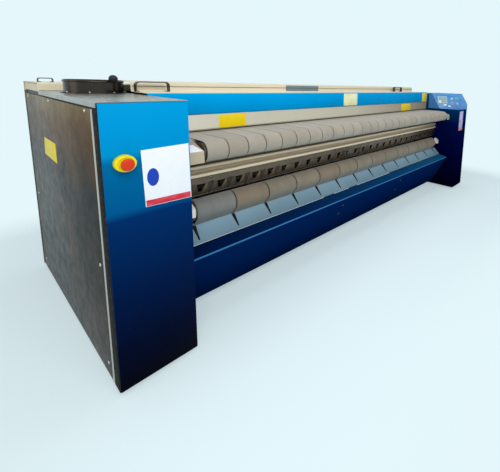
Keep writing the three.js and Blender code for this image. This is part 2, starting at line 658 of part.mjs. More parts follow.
function handle({ span, height, section, bend }, x, y, z) {
  const reach = height - section / 2;
  const path = filleted([[-span / 2, 0], [-span / 2, reach], [span / 2, reach], [span / 2, 0]], bend);
  const inner = offsetPath(path, -section / 2);
  const outer = offsetPath(path, section / 2);
  const outline = [...outer, ...inner.reverse()].map(([a, b]) => [x + a, z + b]);
  return alongY(outline.reverse(), y - section / 2, y + section / 2);
}
const hoodHandleY = FASCIA_FRONT + HOOD_HANDLE_SETBACK;
add("hood_handle_left", handle(HANDLE, HOOD_HANDLE_LEFT_X, hoodHandleY, hoodFlangeZ + TOUCH), IRON);
add("hood_handle_right", handle(HANDLE, HOOD_HANDLE_RIGHT_X, hoodHandleY, hoodFlangeZ + TOUCH), IRON);
add("rear_handle", handle(LOW_HANDLE, LOW_HANDLE.x, LOW_HANDLE.y, rearTop + TOUCH), IRON);

// ---------------------------------------------------------------- heated cylinder

// A tube with a bored journal at each end.
function hollowShaft(x0, x1, radius, wall, j0, j1, journal, bore, sides, y, z) {
  return turned([
    [journal, j0], [journal, x0], [radius, x0], [radius, x1], [journal, x1], [journal, j1],
    [bore, j1], [bore, x1 - wall], [radius - wall, x1 - wall], [radius - wall, x0 + wall], [bore, x0 + wall],
    [bore, j0], [journal, j0],
  ], sides, "x", y, z);
}

add("heated_cylinder", hollowShaft(leftWall + DRUM_END_GAP, rightWall - DRUM_END_GAP, DRUM_RADIUS, DRUM_WALL,
  leftWall - END_PLATE_THICKNESS - DRUM_JOURNAL_LENGTH,
  rightWall + END_PLATE_THICKNESS + DRUM_BEARING_LENGTH + SEAM,
  DRUM_JOURNAL_RADIUS, DRUM_JOURNAL_BORE, DRUM_SIDES, DRUM_CENTRE.y, DRUM_CENTRE.z), STEEL);

// ---------------------------------------------------------------- rollers

function roller({ y, z, radius, sides }) {
  return hollowShaft(workStart - ROLLER_OVERHANG, workEnd + ROLLER_OVERHANG, radius, ROLLER_WALL,
    leftWall - JOURNAL_LENGTH, rightWall + JOURNAL_LENGTH, JOURNAL_RADIUS, JOURNAL_BORE, sides, y, z);
}
for (const [name, spot] of Object.entries(ROLLERS)) add(name, roller(spot), STEEL);

// ---------------------------------------------------------------- feed belts on their bed

const feedWheels = [
  { y: NOSE_CENTRE.y, z: NOSE_CENTRE.z, radius: noseBeltRadius, sense: 1 },
  { y: feedRearY, z: feedRearZ, radius: feedRearBeltRadius, sense: 1 },
];
const feedSteps = [NOSE_STEP, REAR_STEP];
const beltOuter = beltPath(feedWheels, BELT_THICKNESS, feedSteps);
const beltInner = beltPath(feedWheels, 0, feedSteps);
const bedFace = bedTop - BELT_THICKNESS + TOUCH;
const bedFront = NOSE_CENTRE.y + BED_SETBACK;
const bedBack = feedRearY - BED_END_GAP;
const bed = alongX(sheetSection([[bedFront, bedFace - BED_LIP], [bedFront, bedFace], [bedBack, bedFace],
  [bedBack, bedFace - BED_LIP]], -SHEET), skinStart, skinEnd);
const feedBelts = Array.from({ length: BELT_COUNT }, (_, i) => {
  const x = workStart + i * beltPitch + BELT_GAP / 2;
  return alongX(beltOuter, x, x + beltPitch - BELT_GAP, [beltInner]);
});
add("feed_bed", join(bed, ...feedBelts), BELT);

// ---------------------------------------------------------------- ironing bands round their rollers and the cylinder

const onRoller = (name) => ({
  y: ROLLERS[name].y, z: ROLLERS[name].z, radius: ROLLERS[name].radius + BELT_RUNNING_GAP, sense: 1,
});
const drumWheel = { ...DRUM_CENTRE, radius: DRUM_RADIUS + DRUM_RUNNING_GAP + BAND_THICKNESS, sense: -1 };
const bandWheels = [
  onRoller("exit_roller"), onRoller("lower_front_roller"), onRoller("lower_rear_roller"),
  onRoller("upper_rear_roller"), onRoller("entry_roller"), drumWheel,
];
const bandSteps = [EXIT_STEP, ROLLER_STEP, ROLLER_STEP, ROLLER_STEP, REAR_STEP, DRUM_STEP];
const bandOuter = beltPath(bandWheels, BAND_THICKNESS, bandSteps);
const bandInner = beltPath(bandWheels, 0, bandSteps);
const barFace = ROLLERS.upper_rear_roller.y + BAND_ROLLER_RADIUS + BELT_RUNNING_GAP + BAND_BAR.sink;
const bandBar = box(skinStart, skinEnd, barFace - BAND_BAR.depth, barFace,
  DRUM_CENTRE.z - BAND_BAR.height / 2, DRUM_CENTRE.z + BAND_BAR.height / 2);
const ironingBands = Array.from({ length: BAND_COUNT }, (_, i) => {
  const x = workStart + i * bandPitch + BAND_GAP / 2;
  return alongX(bandOuter, x, x + bandPitch - BAND_GAP, [bandInner]);
});
add("ironing_bands", join(bandBar, ...ironingBands), BELT);

// ---------------------------------------------------------------- stripper fingers

const stripperRadius = DRUM_RADIUS + STRIPPER_TIP_GAP;
const tipY = DRUM_CENTRE.y - stripperRadius * Math.cos(rad(STRIPPER_ANGLE));
const tipZ = DRUM_CENTRE.z - stripperRadius * Math.sin(rad(STRIPPER_ANGLE));
const stripperRise = rad(STRIPPER_RISE);
const stripperBack = {
  y: tipY - STRIPPER_REACH * Math.cos(stripperRise),
  z: tipZ + STRIPPER_REACH * Math.sin(stripperRise),
};
const fingers = Array.from({ length: BAND_COUNT }, (_, i) => {
  const x = workStart + (i + 0.5) * bandPitch;
  return alongX([[tipY, tipZ], [stripperBack.y + SHEET, stripperBack.z + SHEET],
    [stripperBack.y - SHEET, stripperBack.z - SHEET]], x - STRIPPER_WIDTH / 2, x + STRIPPER_WIDTH / 2);
});
add("stripper_bar", join(disc(STRIPPER_BAR_RADIUS, skinStart, skinEnd, stripperBack.y, stripperBack.z, SMALL_SIDES),
  ...fingers), STEEL);

// ---------------------------------------------------------------- covers over the nose roller's ends

function endCover(x0, x1) {
  return alongX(sheetSection([
    [bedFront - SEAM, bedFace], [END_COVER.front + END_COVER.slope, bedFace], [END_COVER.front, END_COVER.shoulder],
    [END_COVER.front, END_COVER.low],
  ]), x0, x1);
}
add("left_feed_end_cover", endCover(leftWall + SEAM, workStart - ROLLER_OVERHANG - END_COVER_GAP), CREAM);
add("right_feed_end_cover", endCover(workEnd + ROLLER_OVERHANG + END_COVER_GAP, rightWall - SEAM), CREAM);

// ---------------------------------------------------------------- exhaust collar and fan

const collarTop = CABINET_TOP + COLLAR.height;
const knobBearing = rad(COLLAR_KNOB.bearing);
const knob = new THREE.SphereGeometry(COLLAR_KNOB.radius, SMALL_SIDES, HOLE_SIDES).translate(
  COLLAR.x + COLLAR_KNOB.reach * Math.cos(knobBearing), COLLAR.y + COLLAR_KNOB.reach * Math.sin(knobBearing),
  collarTop + COLLAR_KNOB.lift);
add("exhaust_collar", join(turned([
  [collarBore, CABINET_TOP + TOUCH], [COLLAR.radius + COLLAR.flange, CABINET_TOP + TOUCH],
  [COLLAR.radius + COLLAR.flange, CABINET_TOP + COLLAR.flangeHeight],
  [COLLAR.radius, CABINET_TOP + COLLAR.flangeHeight],
  [COLLAR.radius, collarTop - COLLAR.bead * 3], [COLLAR.radius + COLLAR.bead, collarTop - COLLAR.bead * 2],
  [COLLAR.radius, collarTop - COLLAR.bead], [COLLAR.radius, collarTop], [collarBore, collarTop],
  [collarBore, CABINET_TOP + TOUCH],
], ROLLER_SIDES, "z", COLLAR.y, 0, COLLAR.x), knob), DARK_STEEL);

const fanY = COLLAR.y - FAN.offset;
const fanX0 = FAN.x;
const fanX1 = FAN.x + FAN.width;

// The scroll grows from the outlet's inner lip round the front, the bottom and up the back.
const scrollOuter = (inset) => {
  const top = plateTop + (inset > 0 ? FAN.wall * 4 : 0);
  const outline = Array.from({ length: FAN_SCROLL_STEPS + 1 }, (_, k) => {
    const share = k / FAN_SCROLL_STEPS;
    const a = Math.PI * (0.5 + 1.5 * share);
    const r = FAN.wheelRadius + FAN.gap + FAN.wall - inset + FAN.growth * share;
    return [fanY + r * Math.cos(a), FAN.z + r * Math.sin(a)];
  });
  const back = outline[outline.length - 1][0];
  outline.push([back, top]);
  outline.push([fanY + FAN.wall * 2 + inset, top]);
  outline.push([fanY + FAN.wall * 2 + inset, outline[0][1]]);
  return outline;
};
const fanShell = cut(alongX(scrollOuter(0), fanX0, fanX1),
  alongX(scrollOuter(FAN.wall), fanX0 + FAN.wall, fanX1 - FAN.wall),
  disc(FAN_INLET_RADIUS, fanX0 - FAN.wall, fanX0 + FAN.wall * 2, fanY, FAN.z, ROLLER_SIDES),
  disc(FAN_SHAFT_RADIUS + FAN.wall, fanX1 - FAN.wall * 2, fanX1 + FAN.wall, fanY, FAN.z, SMALL_SIDES));
add("fan_housing", fanShell, IRON);

const wheelX0 = fanX0 + FAN.wall * 4;
const wheelX1 = fanX1 - FAN.wall * 4;
const blades = Array.from({ length: FAN_BLADES }, (_, i) => {
  const blade = box(wheelX0, wheelX1, FAN.wheelRadius - FAN_BLADE.depth, FAN.wheelRadius - 1,
    -FAN_BLADE.thickness / 2, FAN_BLADE.thickness / 2);
  return blade.rotateX((2 * Math.PI * i) / FAN_BLADES).translate(0, fanY, FAN.z);
});
add("fan_wheel", join(
  turned([[0, wheelX0 + FAN.width / 2], [FAN_HUB_RADIUS, wheelX0 + FAN.width / 2],
    [FAN_HUB_RADIUS, wheelX1 - FAN.wall],
    [FAN.wheelRadius, wheelX1 - FAN.wall], [FAN.wheelRadius, wheelX1], [FAN_SHAFT_RADIUS, wheelX1],
    [FAN_SHAFT_RADIUS, fanX1 + SEAM], [0, fanX1 + SEAM]], ROLLER_SIDES, "x", fanY, FAN.z),
  ...blades), STEEL);
add("fan_motor", turned([
  [0, fanX1 + SEAM + TOUCH], [FAN_MOTOR.radius, fanX1 + SEAM + TOUCH], [FAN_MOTOR.radius, fanX1 + FAN_MOTOR.length],
  [FAN_MOTOR.endRadius, fanX1 + FAN_MOTOR.length + FAN.gap], [0, fanX1 + FAN_MOTOR.length + FAN.gap],
], ROLLER_SIDES, "x", fanY, FAN.z), IRON);

// ---------------------------------------------------------------- chain drive

const pitchRadius = (teeth) => CHAIN_PITCH / (2 * Math.sin(Math.PI / teeth));
const chainHalf = CHAIN.height / 2;

function sprocketOutline(teeth, spot) {
  const root = pitchRadius(teeth) - TOOTH.root;
  const tip = pitchRadius(teeth) + TOOTH.rise;
  const points = [];
  const step = (2 * Math.PI) / teeth;
  const lift = (a, r) => [spot.y + r * Math.cos(a), spot.z + r * Math.sin(a)];
  for (let i = 0; i < teeth; i++) {
    for (const [share, r] of [[-TOOTH.base, root], [-TOOTH.tip, tip], [TOOTH.tip, tip], [TOOTH.base, root]]) {
      points.push(lift((i + share / 2) * step, r));
    }
  }
  return points;
}

const motorSpot = { y: DRUM_CENTRE.y, z: MOTOR_SPROCKET_Z };
const sprocketX0 = SPROCKET_PLANE - SPROCKET_WIDTH / 2;
const sprocketX1 = SPROCKET_PLANE + SPROCKET_WIDTH / 2;
add("drum_sprocket", alongX(sprocketOutline(DRUM_TEETH, DRUM_CENTRE), sprocketX0, sprocketX1,
  [circle(DRUM_JOURNAL_RADIUS + TOUCH, DRUM_CENTRE.y, DRUM_CENTRE.z, DRUM_SIDES)]), IRON);
add("motor_sprocket", alongX(sprocketOutline(MOTOR_TEETH, motorSpot), sprocketX0, sprocketX1,
  [circle(OUTPUT_SHAFT_RADIUS + JOURNAL_CLEARANCE, motorSpot.y, motorSpot.z, SMALL_SIDES)]), IRON);

const chainWheels = [
  { ...motorSpot, radius: pitchRadius(MOTOR_TEETH) - chainHalf, sense: 1 },
  { ...DRUM_CENTRE, radius: pitchRadius(DRUM_TEETH) - chainHalf, sense: 1 },
];
const chainRing = (low, high, x0, x1) => alongX(beltPath(chainWheels, high, CHAIN_STEPS), x0, x1,
  [beltPath(chainWheels, low, CHAIN_STEPS)]);
const toothGroove = chainRing(-CHAIN.back, CHAIN.height - CHAIN.back, sprocketX0 - CHAIN.gap, sprocketX1 + CHAIN.gap);
add("drive_chain", cut(chainRing(0, CHAIN.height, SPROCKET_PLANE - CHAIN.width / 2, SPROCKET_PLANE + CHAIN.width / 2),
  toothGroove), DARK_STEEL);

const gearboxX1 = SPROCKET_PLANE - CHAIN.width;
const gearboxX0 = gearboxX1 - GEARBOX.width;
const gearboxLow = CASING_FLOOR_GAP + SHEET + TOUCH;
add("gearmotor", join(
  box(gearboxX0, gearboxX1, motorSpot.y - GEARBOX.depth / 2, motorSpot.y + GEARBOX.depth / 2,
    gearboxLow, motorSpot.z + GEARBOX.height / 2),
  disc(OUTPUT_SHAFT_RADIUS, gearboxX1 - SEAM, sprocketX1 + SPROCKET_WIDTH, motorSpot.y, motorSpot.z, SMALL_SIDES),
  turned([[0, 0], [MOTOR.radius, 0], [MOTOR.radius, MOTOR.length], [MOTOR.endRadius, MOTOR.length + SPROCKET_WIDTH],
    [0, MOTOR.length + SPROCKET_WIDTH]], ROLLER_SIDES, "y", motorSpot.y + GEARBOX.depth / 2 - SEAM, motorSpot.z,
  (gearboxX0 + gearboxX1) / 2),
), IRON);

// ---------------------------------------------------------------- rotary joint that feeds the cylinder with heat

const jointX0 = rightWall + END_PLATE_THICKNESS + DRUM_BEARING_LENGTH + SEAM + TOUCH;
const portReach = ROTARY_JOINT.radius + ROTARY_JOINT.reach;
add("rotary_joint", join(
  turned([[0, jointX0], [ROTARY_JOINT.radius, jointX0], [ROTARY_JOINT.radius, jointX0 + ROTARY_JOINT.length],
    [DRUM_JOURNAL_BORE, jointX0 + ROTARY_JOINT.length + SPROCKET_WIDTH], [0, jointX0 + ROTARY_JOINT.length + SPROCKET_WIDTH]],
  ROLLER_SIDES, "x", DRUM_CENTRE.y, DRUM_CENTRE.z),
  turned([[0, -portReach], [ROTARY_JOINT.port, -portReach], [ROTARY_JOINT.port, portReach], [0, portReach]],
  SMALL_SIDES, "z", DRUM_CENTRE.y, DRUM_CENTRE.z, jointX0 + ROTARY_JOINT.length / 2),
), IRON);

// ---------------------------------------------------------------- control console

const consoleTop = CABINET_TOP + CONSOLE.rise;
const faceRun = (x) => (x - rightWall) * CONSOLE.skew;
const faceFoot = new THREE.Vector3(rightWall, CONSOLE.footY, CONSOLE.low);
const faceHead = new THREE.Vector3(rightWall, CONSOLE.topY, consoleTop);
const faceAcross = new THREE.Vector3(1, -CONSOLE.skew, 0).normalize();
const faceUp = faceHead.clone().sub(faceFoot);
faceUp.addScaledVector(faceAcross, -faceUp.dot(faceAcross)).normalize();
const faceOut = new THREE.Vector3().crossVectors(faceAcross, faceUp).normalize();
const faceFar = new THREE.Vector3(LENGTH, CONSOLE.topY - faceRun(LENGTH), consoleTop);
const faceNear = new THREE.Vector3(rightWall + CONSOLE.footY / CONSOLE.skew, 0, CONSOLE.low);
const faceCentre = faceFoot.clone().add(faceHead).add(faceFar).add(faceNear).multiplyScalar(0.25);
faceCentre.addScaledVector(faceOut, -faceCentre.clone().sub(faceFoot).dot(faceOut));
const faceTurn = new THREE.Matrix4().makeBasis(faceAcross, faceUp, faceOut).setPosition(faceCentre);

function onFace(geometry) {
  return geometry.applyMatrix4(faceTurn);
}

// A turned piece standing on the console's face, from one depth to another.
function standing(profile, sides, u, v) {
  const geometry = new THREE.LatheGeometry(profile.map(([r, s]) => new THREE.Vector2(r, s)), sides);
  return onFace(geometry.rotateX(Math.PI / 2).translate(u, v, 0));
}

const consoleBlock = box(rightWall, LENGTH, 0, CONSOLE.back, CONSOLE.low, consoleTop);
const carve = new THREE.BoxGeometry(LENGTH, LENGTH, LENGTH).translate(0, 0, LENGTH / 2);
const wells = BUTTONS.map((b) => standing([[0, -BUTTON.depth], [BUTTON.radius + BUTTON.gap, -BUTTON.depth],
  [BUTTON.radius + BUTTON.gap, BUTTON.depth], [0, BUTTON.depth]], ROLLER_SIDES, b.u, b.v));
const bezel = (grow, low, high) => onFace(
  new THREE.BoxGeometry(DISPLAY.width + grow, DISPLAY.height + grow, high - low)
    .translate(DISPLAY.u, DISPLAY.v, (low + high) / 2));
const consoleSill = box(rightWall, LENGTH, 0, CONSOLE.back, CONSOLE.low, CONSOLE.low + SHEET);
add("console_housing", cut(join(cut(consoleBlock, onFace(carve)), consoleSill,
  bezel(DISPLAY.frame * 2, -DISPLAY.stand, DISPLAY.stand)), bezel(0, DISPLAY.stand / 2, DISPLAY.stand * 2), ...wells),
LIGHT_BLUE);

for (const b of BUTTONS) {
  const low = BUTTON.travel + TOUCH - BUTTON.depth;
  add(b.name, standing([[0, low], [BUTTON.radius, low], [BUTTON.radius, BUTTON.stand - BUTTON.chamfer],
    [BUTTON.radius - BUTTON.chamfer, BUTTON.stand], [0, BUTTON.stand]], ROLLER_SIDES, b.u, b.v),
  { color: b.colour, roughness: 0.35, metalness: 0 });
}

// ---------------------------------------------------------------- emergency stop

const stopBore = ESTOP.stemRadius + BUTTON.gap;
add("estop_base", turned([
  [stopBore, TOUCH], [ESTOP.baseRadius, TOUCH], [ESTOP.baseRadius, ESTOP_BASE_EDGE.depth],
  [ESTOP.baseRadius - ESTOP_BASE_EDGE.taper, ESTOP.baseDepth], [stopBore, ESTOP.baseDepth], [stopBore, TOUCH],
], ROLLER_SIDES, "z", 0, 0).rotateX(Math.PI / 2).translate(ESTOP.x, 0, ESTOP.z), YELLOW);
add("estop_stem", turned([
  [0, ESTOP.travel + SEAM], [ESTOP.stemRadius, ESTOP.travel + SEAM],
  [ESTOP.stemRadius, ESTOP.baseDepth + ESTOP.stemStand], [0, ESTOP.baseDepth + ESTOP.stemStand],
], ROLLER_SIDES, "z", 0, 0).rotateX(Math.PI / 2).translate(ESTOP.x, 0, ESTOP.z), BLACK);
const headLow = ESTOP.baseDepth + ESTOP.stemStand + TOUCH;
add("estop_mushroom", turned([
  [0, headLow], [MUSHROOM.neck, headLow], [MUSHROOM.radius, headLow + MUSHROOM.swell],
  [MUSHROOM.radius, headLow + MUSHROOM.shoulder], [MUSHROOM.neck, headLow + MUSHROOM.height],
  [0, headLow + MUSHROOM.height + MUSHROOM.dome],
], ROLLER_SIDES, "z", 0, 0).rotateX(Math.PI / 2).translate(ESTOP.x, 0, ESTOP.z), RED);

export default machine;
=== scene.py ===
"""Looks of a flatwork ironer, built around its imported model. Metres, +X along the cylinder, -Y to the operator."""

import math

import bmesh
import bpy
from mathutils import Matrix, Vector


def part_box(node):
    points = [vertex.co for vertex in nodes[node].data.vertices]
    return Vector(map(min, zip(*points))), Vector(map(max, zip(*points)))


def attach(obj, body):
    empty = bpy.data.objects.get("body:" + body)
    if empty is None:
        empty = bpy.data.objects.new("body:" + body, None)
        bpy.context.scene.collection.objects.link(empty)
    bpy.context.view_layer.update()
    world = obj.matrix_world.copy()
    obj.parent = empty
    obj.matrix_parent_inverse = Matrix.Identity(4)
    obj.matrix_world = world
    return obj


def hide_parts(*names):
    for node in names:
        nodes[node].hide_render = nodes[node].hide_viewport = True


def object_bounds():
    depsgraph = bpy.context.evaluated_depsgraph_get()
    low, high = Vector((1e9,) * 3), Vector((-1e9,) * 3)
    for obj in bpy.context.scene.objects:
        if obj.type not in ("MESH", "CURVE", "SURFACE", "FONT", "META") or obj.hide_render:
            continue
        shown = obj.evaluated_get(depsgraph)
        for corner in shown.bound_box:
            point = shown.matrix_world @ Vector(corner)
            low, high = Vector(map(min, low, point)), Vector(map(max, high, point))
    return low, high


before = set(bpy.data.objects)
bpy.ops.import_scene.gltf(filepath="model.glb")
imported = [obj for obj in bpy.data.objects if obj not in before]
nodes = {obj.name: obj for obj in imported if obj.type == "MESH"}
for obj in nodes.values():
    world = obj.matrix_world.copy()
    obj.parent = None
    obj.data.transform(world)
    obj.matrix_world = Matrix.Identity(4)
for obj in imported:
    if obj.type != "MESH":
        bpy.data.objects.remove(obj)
cad_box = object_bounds()

# ---------------------------------------------------------------- stations read from the frame

X, Y, Z = 0, 1, 2


def low(node, axis):
    """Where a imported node's box starts along an axis."""
    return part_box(node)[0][axis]


def high(node, axis):
    """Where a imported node's box ends along an axis."""
    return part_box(node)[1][axis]


LEFT_OUTER, LEFT_WALL = low("left_front_panel", X), high("left_front_panel", X)
RIGHT_WALL, RIGHT_OUTER = low("right_front_panel", X), high("right_front_panel", X)
FRONT = low("left_front_panel", Y)
SKIN_START, SKIN_END = low("feed_bed", X), high("feed_bed", X)


def wheel_of(node):
    """Centre y, centre z and radius of a roller, from its box."""
    return ((low(node, Y) + high(node, Y)) / 2, (low(node, Z) + high(node, Z)) / 2,
            (high(node, Z) - low(node, Z)) / 2)


def at(x, y, z):
    """A place given from the left cabinet's outer front foot: along, back and up."""
    return Vector((LEFT_OUTER + x, FRONT + y, z))


# ---------------------------------------------------------------- camera

PHOTO_WIDTH, PHOTO_HEIGHT = 500, 472
CAMERA_PLACE = at(-0.397, -1.622, 1.513)
CAMERA_AZIMUTH = math.radians(51.86)
CAMERA_PITCH = math.radians(8.69)
CAMERA_ROLL = math.radians(1.95)
FOCAL_PX = 322.9
CENTRE_PX = (347.4, 132.3)
SENSOR = 36.0


def add_camera():
    forward = Vector((
        math.sin(CAMERA_AZIMUTH) * math.cos(CAMERA_PITCH),
        math.cos(CAMERA_AZIMUTH) * math.cos(CAMERA_PITCH),
        -math.sin(CAMERA_PITCH),
    ))
    right = forward.cross(Vector((0, 0, 1))).normalized()
    up = right.cross(forward)
    rolled_right = math.cos(CAMERA_ROLL) * right + math.sin(CAMERA_ROLL) * up
    rolled_up = -math.sin(CAMERA_ROLL) * right + math.cos(CAMERA_ROLL) * up
    data = bpy.data.cameras.new("camera")
    data.sensor_width = SENSOR
    data.sensor_fit = "HORIZONTAL"
    data.lens = FOCAL_PX / PHOTO_WIDTH * SENSOR
    data.shift_x = (PHOTO_WIDTH / 2 - CENTRE_PX[0]) / PHOTO_WIDTH
    data.shift_y = (CENTRE_PX[1] - PHOTO_HEIGHT / 2) / PHOTO_WIDTH
    data.clip_start = 0.02
    data.clip_end = 100
    camera = bpy.data.objects.new("camera", data)
    turn = Matrix((rolled_right, rolled_up, -forward)).transposed().to_4x4()
    camera.matrix_world = Matrix.Translation(CAMERA_PLACE) @ turn
    bpy.context.scene.collection.objects.link(camera)
    bpy.context.scene.camera = camera


add_camera()

# ---------------------------------------------------------------- material building blocks


def feed(tree, socket, value):
    """Give a socket another node's output, or a number, vector or colour of its own."""
    if isinstance(value, bpy.types.NodeSocket):
        tree.links.new(value, socket)
    elif socket.type == "RGBA":
        socket.default_value = (*value, 1.0)
    else:
        socket.default_value = value


def add_node(tree, kind, inputs=(), **settings):
    made = tree.nodes.new(kind)
    for key, value in settings.items():
        setattr(made, key, value)
    for key, value in dict(inputs).items():
        feed(tree, made.inputs[key], value)
    return made


class Look:
    """A procedural material: nodes on one principled shader, in the row frame's own coordinates."""

    def __init__(self, name, roughness=0.5, metallic=0.0, **sockets):
        self.material = bpy.data.materials.new(name)
        self.material.use_nodes = True
        self.tree = self.material.node_tree
        self.shader = self.tree.nodes["Principled BSDF"]
        self.place = self.node("ShaderNodeTexCoord").outputs["Object"]
        self.set("Roughness", roughness)
        self.set("Metallic", metallic)
        for socket, value in sockets.items():
            self.set(socket.replace("_", " ").title().replace("Ior", "IOR"), value)

    def set(self, socket, value):
        feed(self.tree, self.shader.inputs[socket], value)

    def node(self, kind, inputs=(), **settings):
        return add_node(self.tree, kind, inputs, **settings)

    def noise(self, scale, stretch=(1, 1, 1), detail=4.0, rough=0.55, distortion=0.0):
        vector = self.node("ShaderNodeMapping", {"Vector": self.place, "Scale": stretch}).outputs[0]
        made = self.node("ShaderNodeTexNoise", {
            "Vector": vector, "Scale": scale, "Detail": detail, "Roughness": rough, "Distortion": distortion,
        })
        return made.outputs["Fac"]

    def axis(self, which):
        return self.node("ShaderNodeSeparateXYZ", {0: self.place}).outputs[which]

    def math(self, operation, a, b=0.0):
        return self.node("ShaderNodeMath", {0: a, 1: b}, operation=operation).outputs[0]

    def remap(self, value, low, high, to_low=0.0, to_high=1.0):
        return self.node("ShaderNodeMapRange", {
            "Value": value, "From Min": low, "From Max": high, "To Min": to_low, "To Max": to_high,
        }).outputs[0]

    def mix(self, share, a, b, blend="MIX"):
        """Colour a passing into colour b; the node's colour sockets are 6 and 7 in, 2 out."""
        made = self.node("ShaderNodeMix", {"Factor": share, 6: a, 7: b}, data_type="RGBA", blend_type=blend)
        return made.outputs[2]

    def ramp(self, value, stops):
        """A colour that changes along a value; stops are (value, colour) from low to high."""
        bottom, top = stops[0][0], stops[-1][0]
        made = self.node("ShaderNodeValToRGB", {"Fac": self.remap(value, bottom, top)})
        elements = made.color_ramp.elements
        while len(elements) < len(stops):
            elements.new(0.5)
        for element, (place, colour) in zip(elements, stops):
            element.position = (place - bottom) / (top - bottom)
            element.color = (*colour, 1.0)
        return made.outputs["Color"]

    def bump(self, height, distance, strength=1.0, over=None):
        inputs = {"Height": height, "Distance": distance, "Strength": strength}
        if over is not None:
            inputs["Normal"] = over
        return self.node("ShaderNodeBump", inputs).outputs[0]

    def colour(self, value):
        self.set("Base Color", value)

    def done(self, normal=None):
        if normal is not None:
            self.set("Normal", normal)
        return self.material


def srgb(r, g, b):
    """A colour given in the eight-bit values a picture shows."""
    return tuple(((v / 255 + 0.055) / 1.055) ** 2.4 if v > 10 else v / 255 / 12.92 for v in (r, g, b))


def tones(*stops):
    """The stops of a ramp, each written as a place and its eight-bit colour."""
    return [(place, srgb(*colour)) for place, *colour in stops]


def darker(colour, share):
    return tuple(v * share for v in colour)


# ---------------------------------------------------------------- materials


def enamel(name, stops, along=Z, roughness=0.3, grime=0.1, coat=0.0, gloss=0.015, drift=0.03, shelf=None):
    """Sprayed enamel with faint orange peel, dust and wear scratches; its tone follows a ramp of stops along one axis,
    which on the cabinet fronts, fascia, kick panel, end walls and finger guard is painted reflection and shade.
    """
    look = Look(name, coat_weight=coat, coat_roughness=0.08, specular_ior_level=gloss)
    cloud = look.noise(1.1, detail=3, distortion=0.6)
    height = look.math("ADD", look.axis(along), look.remap(cloud, 0.3, 0.7, -drift, drift))
    tone = look.ramp(height, stops) if len(stops) > 1 else look.mix(
        look.remap(cloud, 0.3, 0.7), darker(stops[0][1], 0.92), stops[0][1])
    # Above the given height, the ledge top takes a ramp along the machine instead: a painted reflection that brightens
    # to the right.
    if shelf:
        level, shelf_stops = shelf
        tone = look.mix(look.math("GREATER_THAN", look.axis(Z), level), tone, look.ramp(look.axis(X), shelf_stops))
    dust = look.remap(look.noise(6, (1, 1, 0.35), detail=6, rough=0.7), 0.52, 0.8, 0, grime)
    tone = look.mix(dust, tone, look.mix(0.04, tone, (0.1, 0.11, 0.13)))
    scratch = look.remap(look.noise(90, (0.08, 0.08, 1), detail=2), 0.66, 0.72, 0, 0.05)
    look.colour(look.mix(scratch, tone, look.mix(0.06, tone, (0.4, 0.46, 0.54))))
    look.set("Roughness", look.remap(look.noise(9, detail=5), 0.3, 0.75, roughness * 0.75, roughness * 1.5))
    return look.done(look.bump(look.noise(420, detail=2), 0.0002, 0.25))


def brushed(name, colour, along=X, roughness=0.32, stain=0.3, tint=None, stops=None, metallic=0.85, grain=0.3,
            drift=0.09, gloss=0.5):
    """Brushed stainless sheet: fine streaks along one axis, cloudy staining and finger marks; stops, where given,
    multiply in a ramp with height that paints reflections and highlights.
    """
    look = Look(name, metallic=metallic, specular_ior_level=gloss)
    stretch = [1.0, 1.0, 1.0]
    stretch[along] = 0.012
    streak = look.noise(260, tuple(stretch), detail=5, rough=0.65)
    cloud = look.noise(2.2, detail=5, rough=0.6, distortion=0.4)
    base = look.mix(look.remap(streak, 0.3, 0.7), darker(colour, 0.82), colour)
    if stops:
        # The stops paint reflections and highlights into the tone as a ramp with height: the side doors' reflected
        # room, the guard bar's bright ridges.
        wave = look.math("ADD", look.axis(Z), look.remap(cloud, 0.3, 0.7, -drift, drift))
        base = look.mix(1.0, base, look.ramp(wave, stops), "MULTIPLY")
    base = look.mix(look.remap(cloud, 0.45, 0.75, 0, stain), base, tint or darker(colour, 0.6))
    look.colour(base)
    marks = look.remap(look.noise(14, detail=6, rough=0.7), 0.35, 0.7, -0.05, 0.09)
    fine = look.remap(streak, 0.2, 0.8, roughness * 0.8, roughness * 1.25)
    look.set("Roughness", look.math("ADD", fine, marks))
    return look.done(look.bump(streak, 0.0002, grain))


def turned_metal(name, colour, roughness=0.25, rust=0.0):
    """Turned or ground steel: rings round the axis of the rollers, with a little rust where it is bare."""
    look = Look(name, metallic=1.0)
    rings = look.noise(300, (1, 0.02, 0.02), detail=4)
    spots = look.noise(18, detail=7, rough=0.7)
    base = look.mix(look.remap(rings, 0.3, 0.7), darker(colour, 0.85), colour)
    look.colour(look.mix(look.remap(spots, 0.55, 0.72, 0, rust), base, srgb(112, 70, 42)))
    look.set("Roughness", look.remap(spots, 0.3, 0.75, roughness * 0.8, roughness * 1.6))
    return look.done(look.bump(rings, 0.0002, 0.3))


def machine_paint(name, colour, roughness=0.55, cast=0.4):
    """Matt machine paint over a rough surface, with dirt in the hollows."""
    look = Look(name)
    grain = look.noise(160, detail=5, rough=0.65)
    dirt = look.noise(5, detail=6, rough=0.65)
    look.colour(look.mix(look.remap(dirt, 0.45, 0.75, 0, 0.5), colour, darker(colour, 0.45)))
    look.set("Roughness", look.remap(grain, 0.3, 0.7, roughness * 0.85, roughness * 1.2))
    return look.done(look.bump(grain, 0.0006, cast))


def plastic(name, colour, roughness=0.3, grain=0.12, wear=0.12):
    """Moulded plastic with a fine spark texture and rubbed, slightly paler places."""
    look = Look(name, specular_ior_level=0.25)
    rub = look.noise(30, detail=5)
    look.colour(look.mix(look.remap(rub, 0.5, 0.8, 0, wear), colour, tuple(v * 0.85 + 0.04 for v in colour)))
    look.set("Roughness", look.remap(rub, 0.3, 0.7, roughness * 0.8, roughness * 1.3))
    return look.done(look.bump(look.noise(900, detail=2), 0.0002, grain))


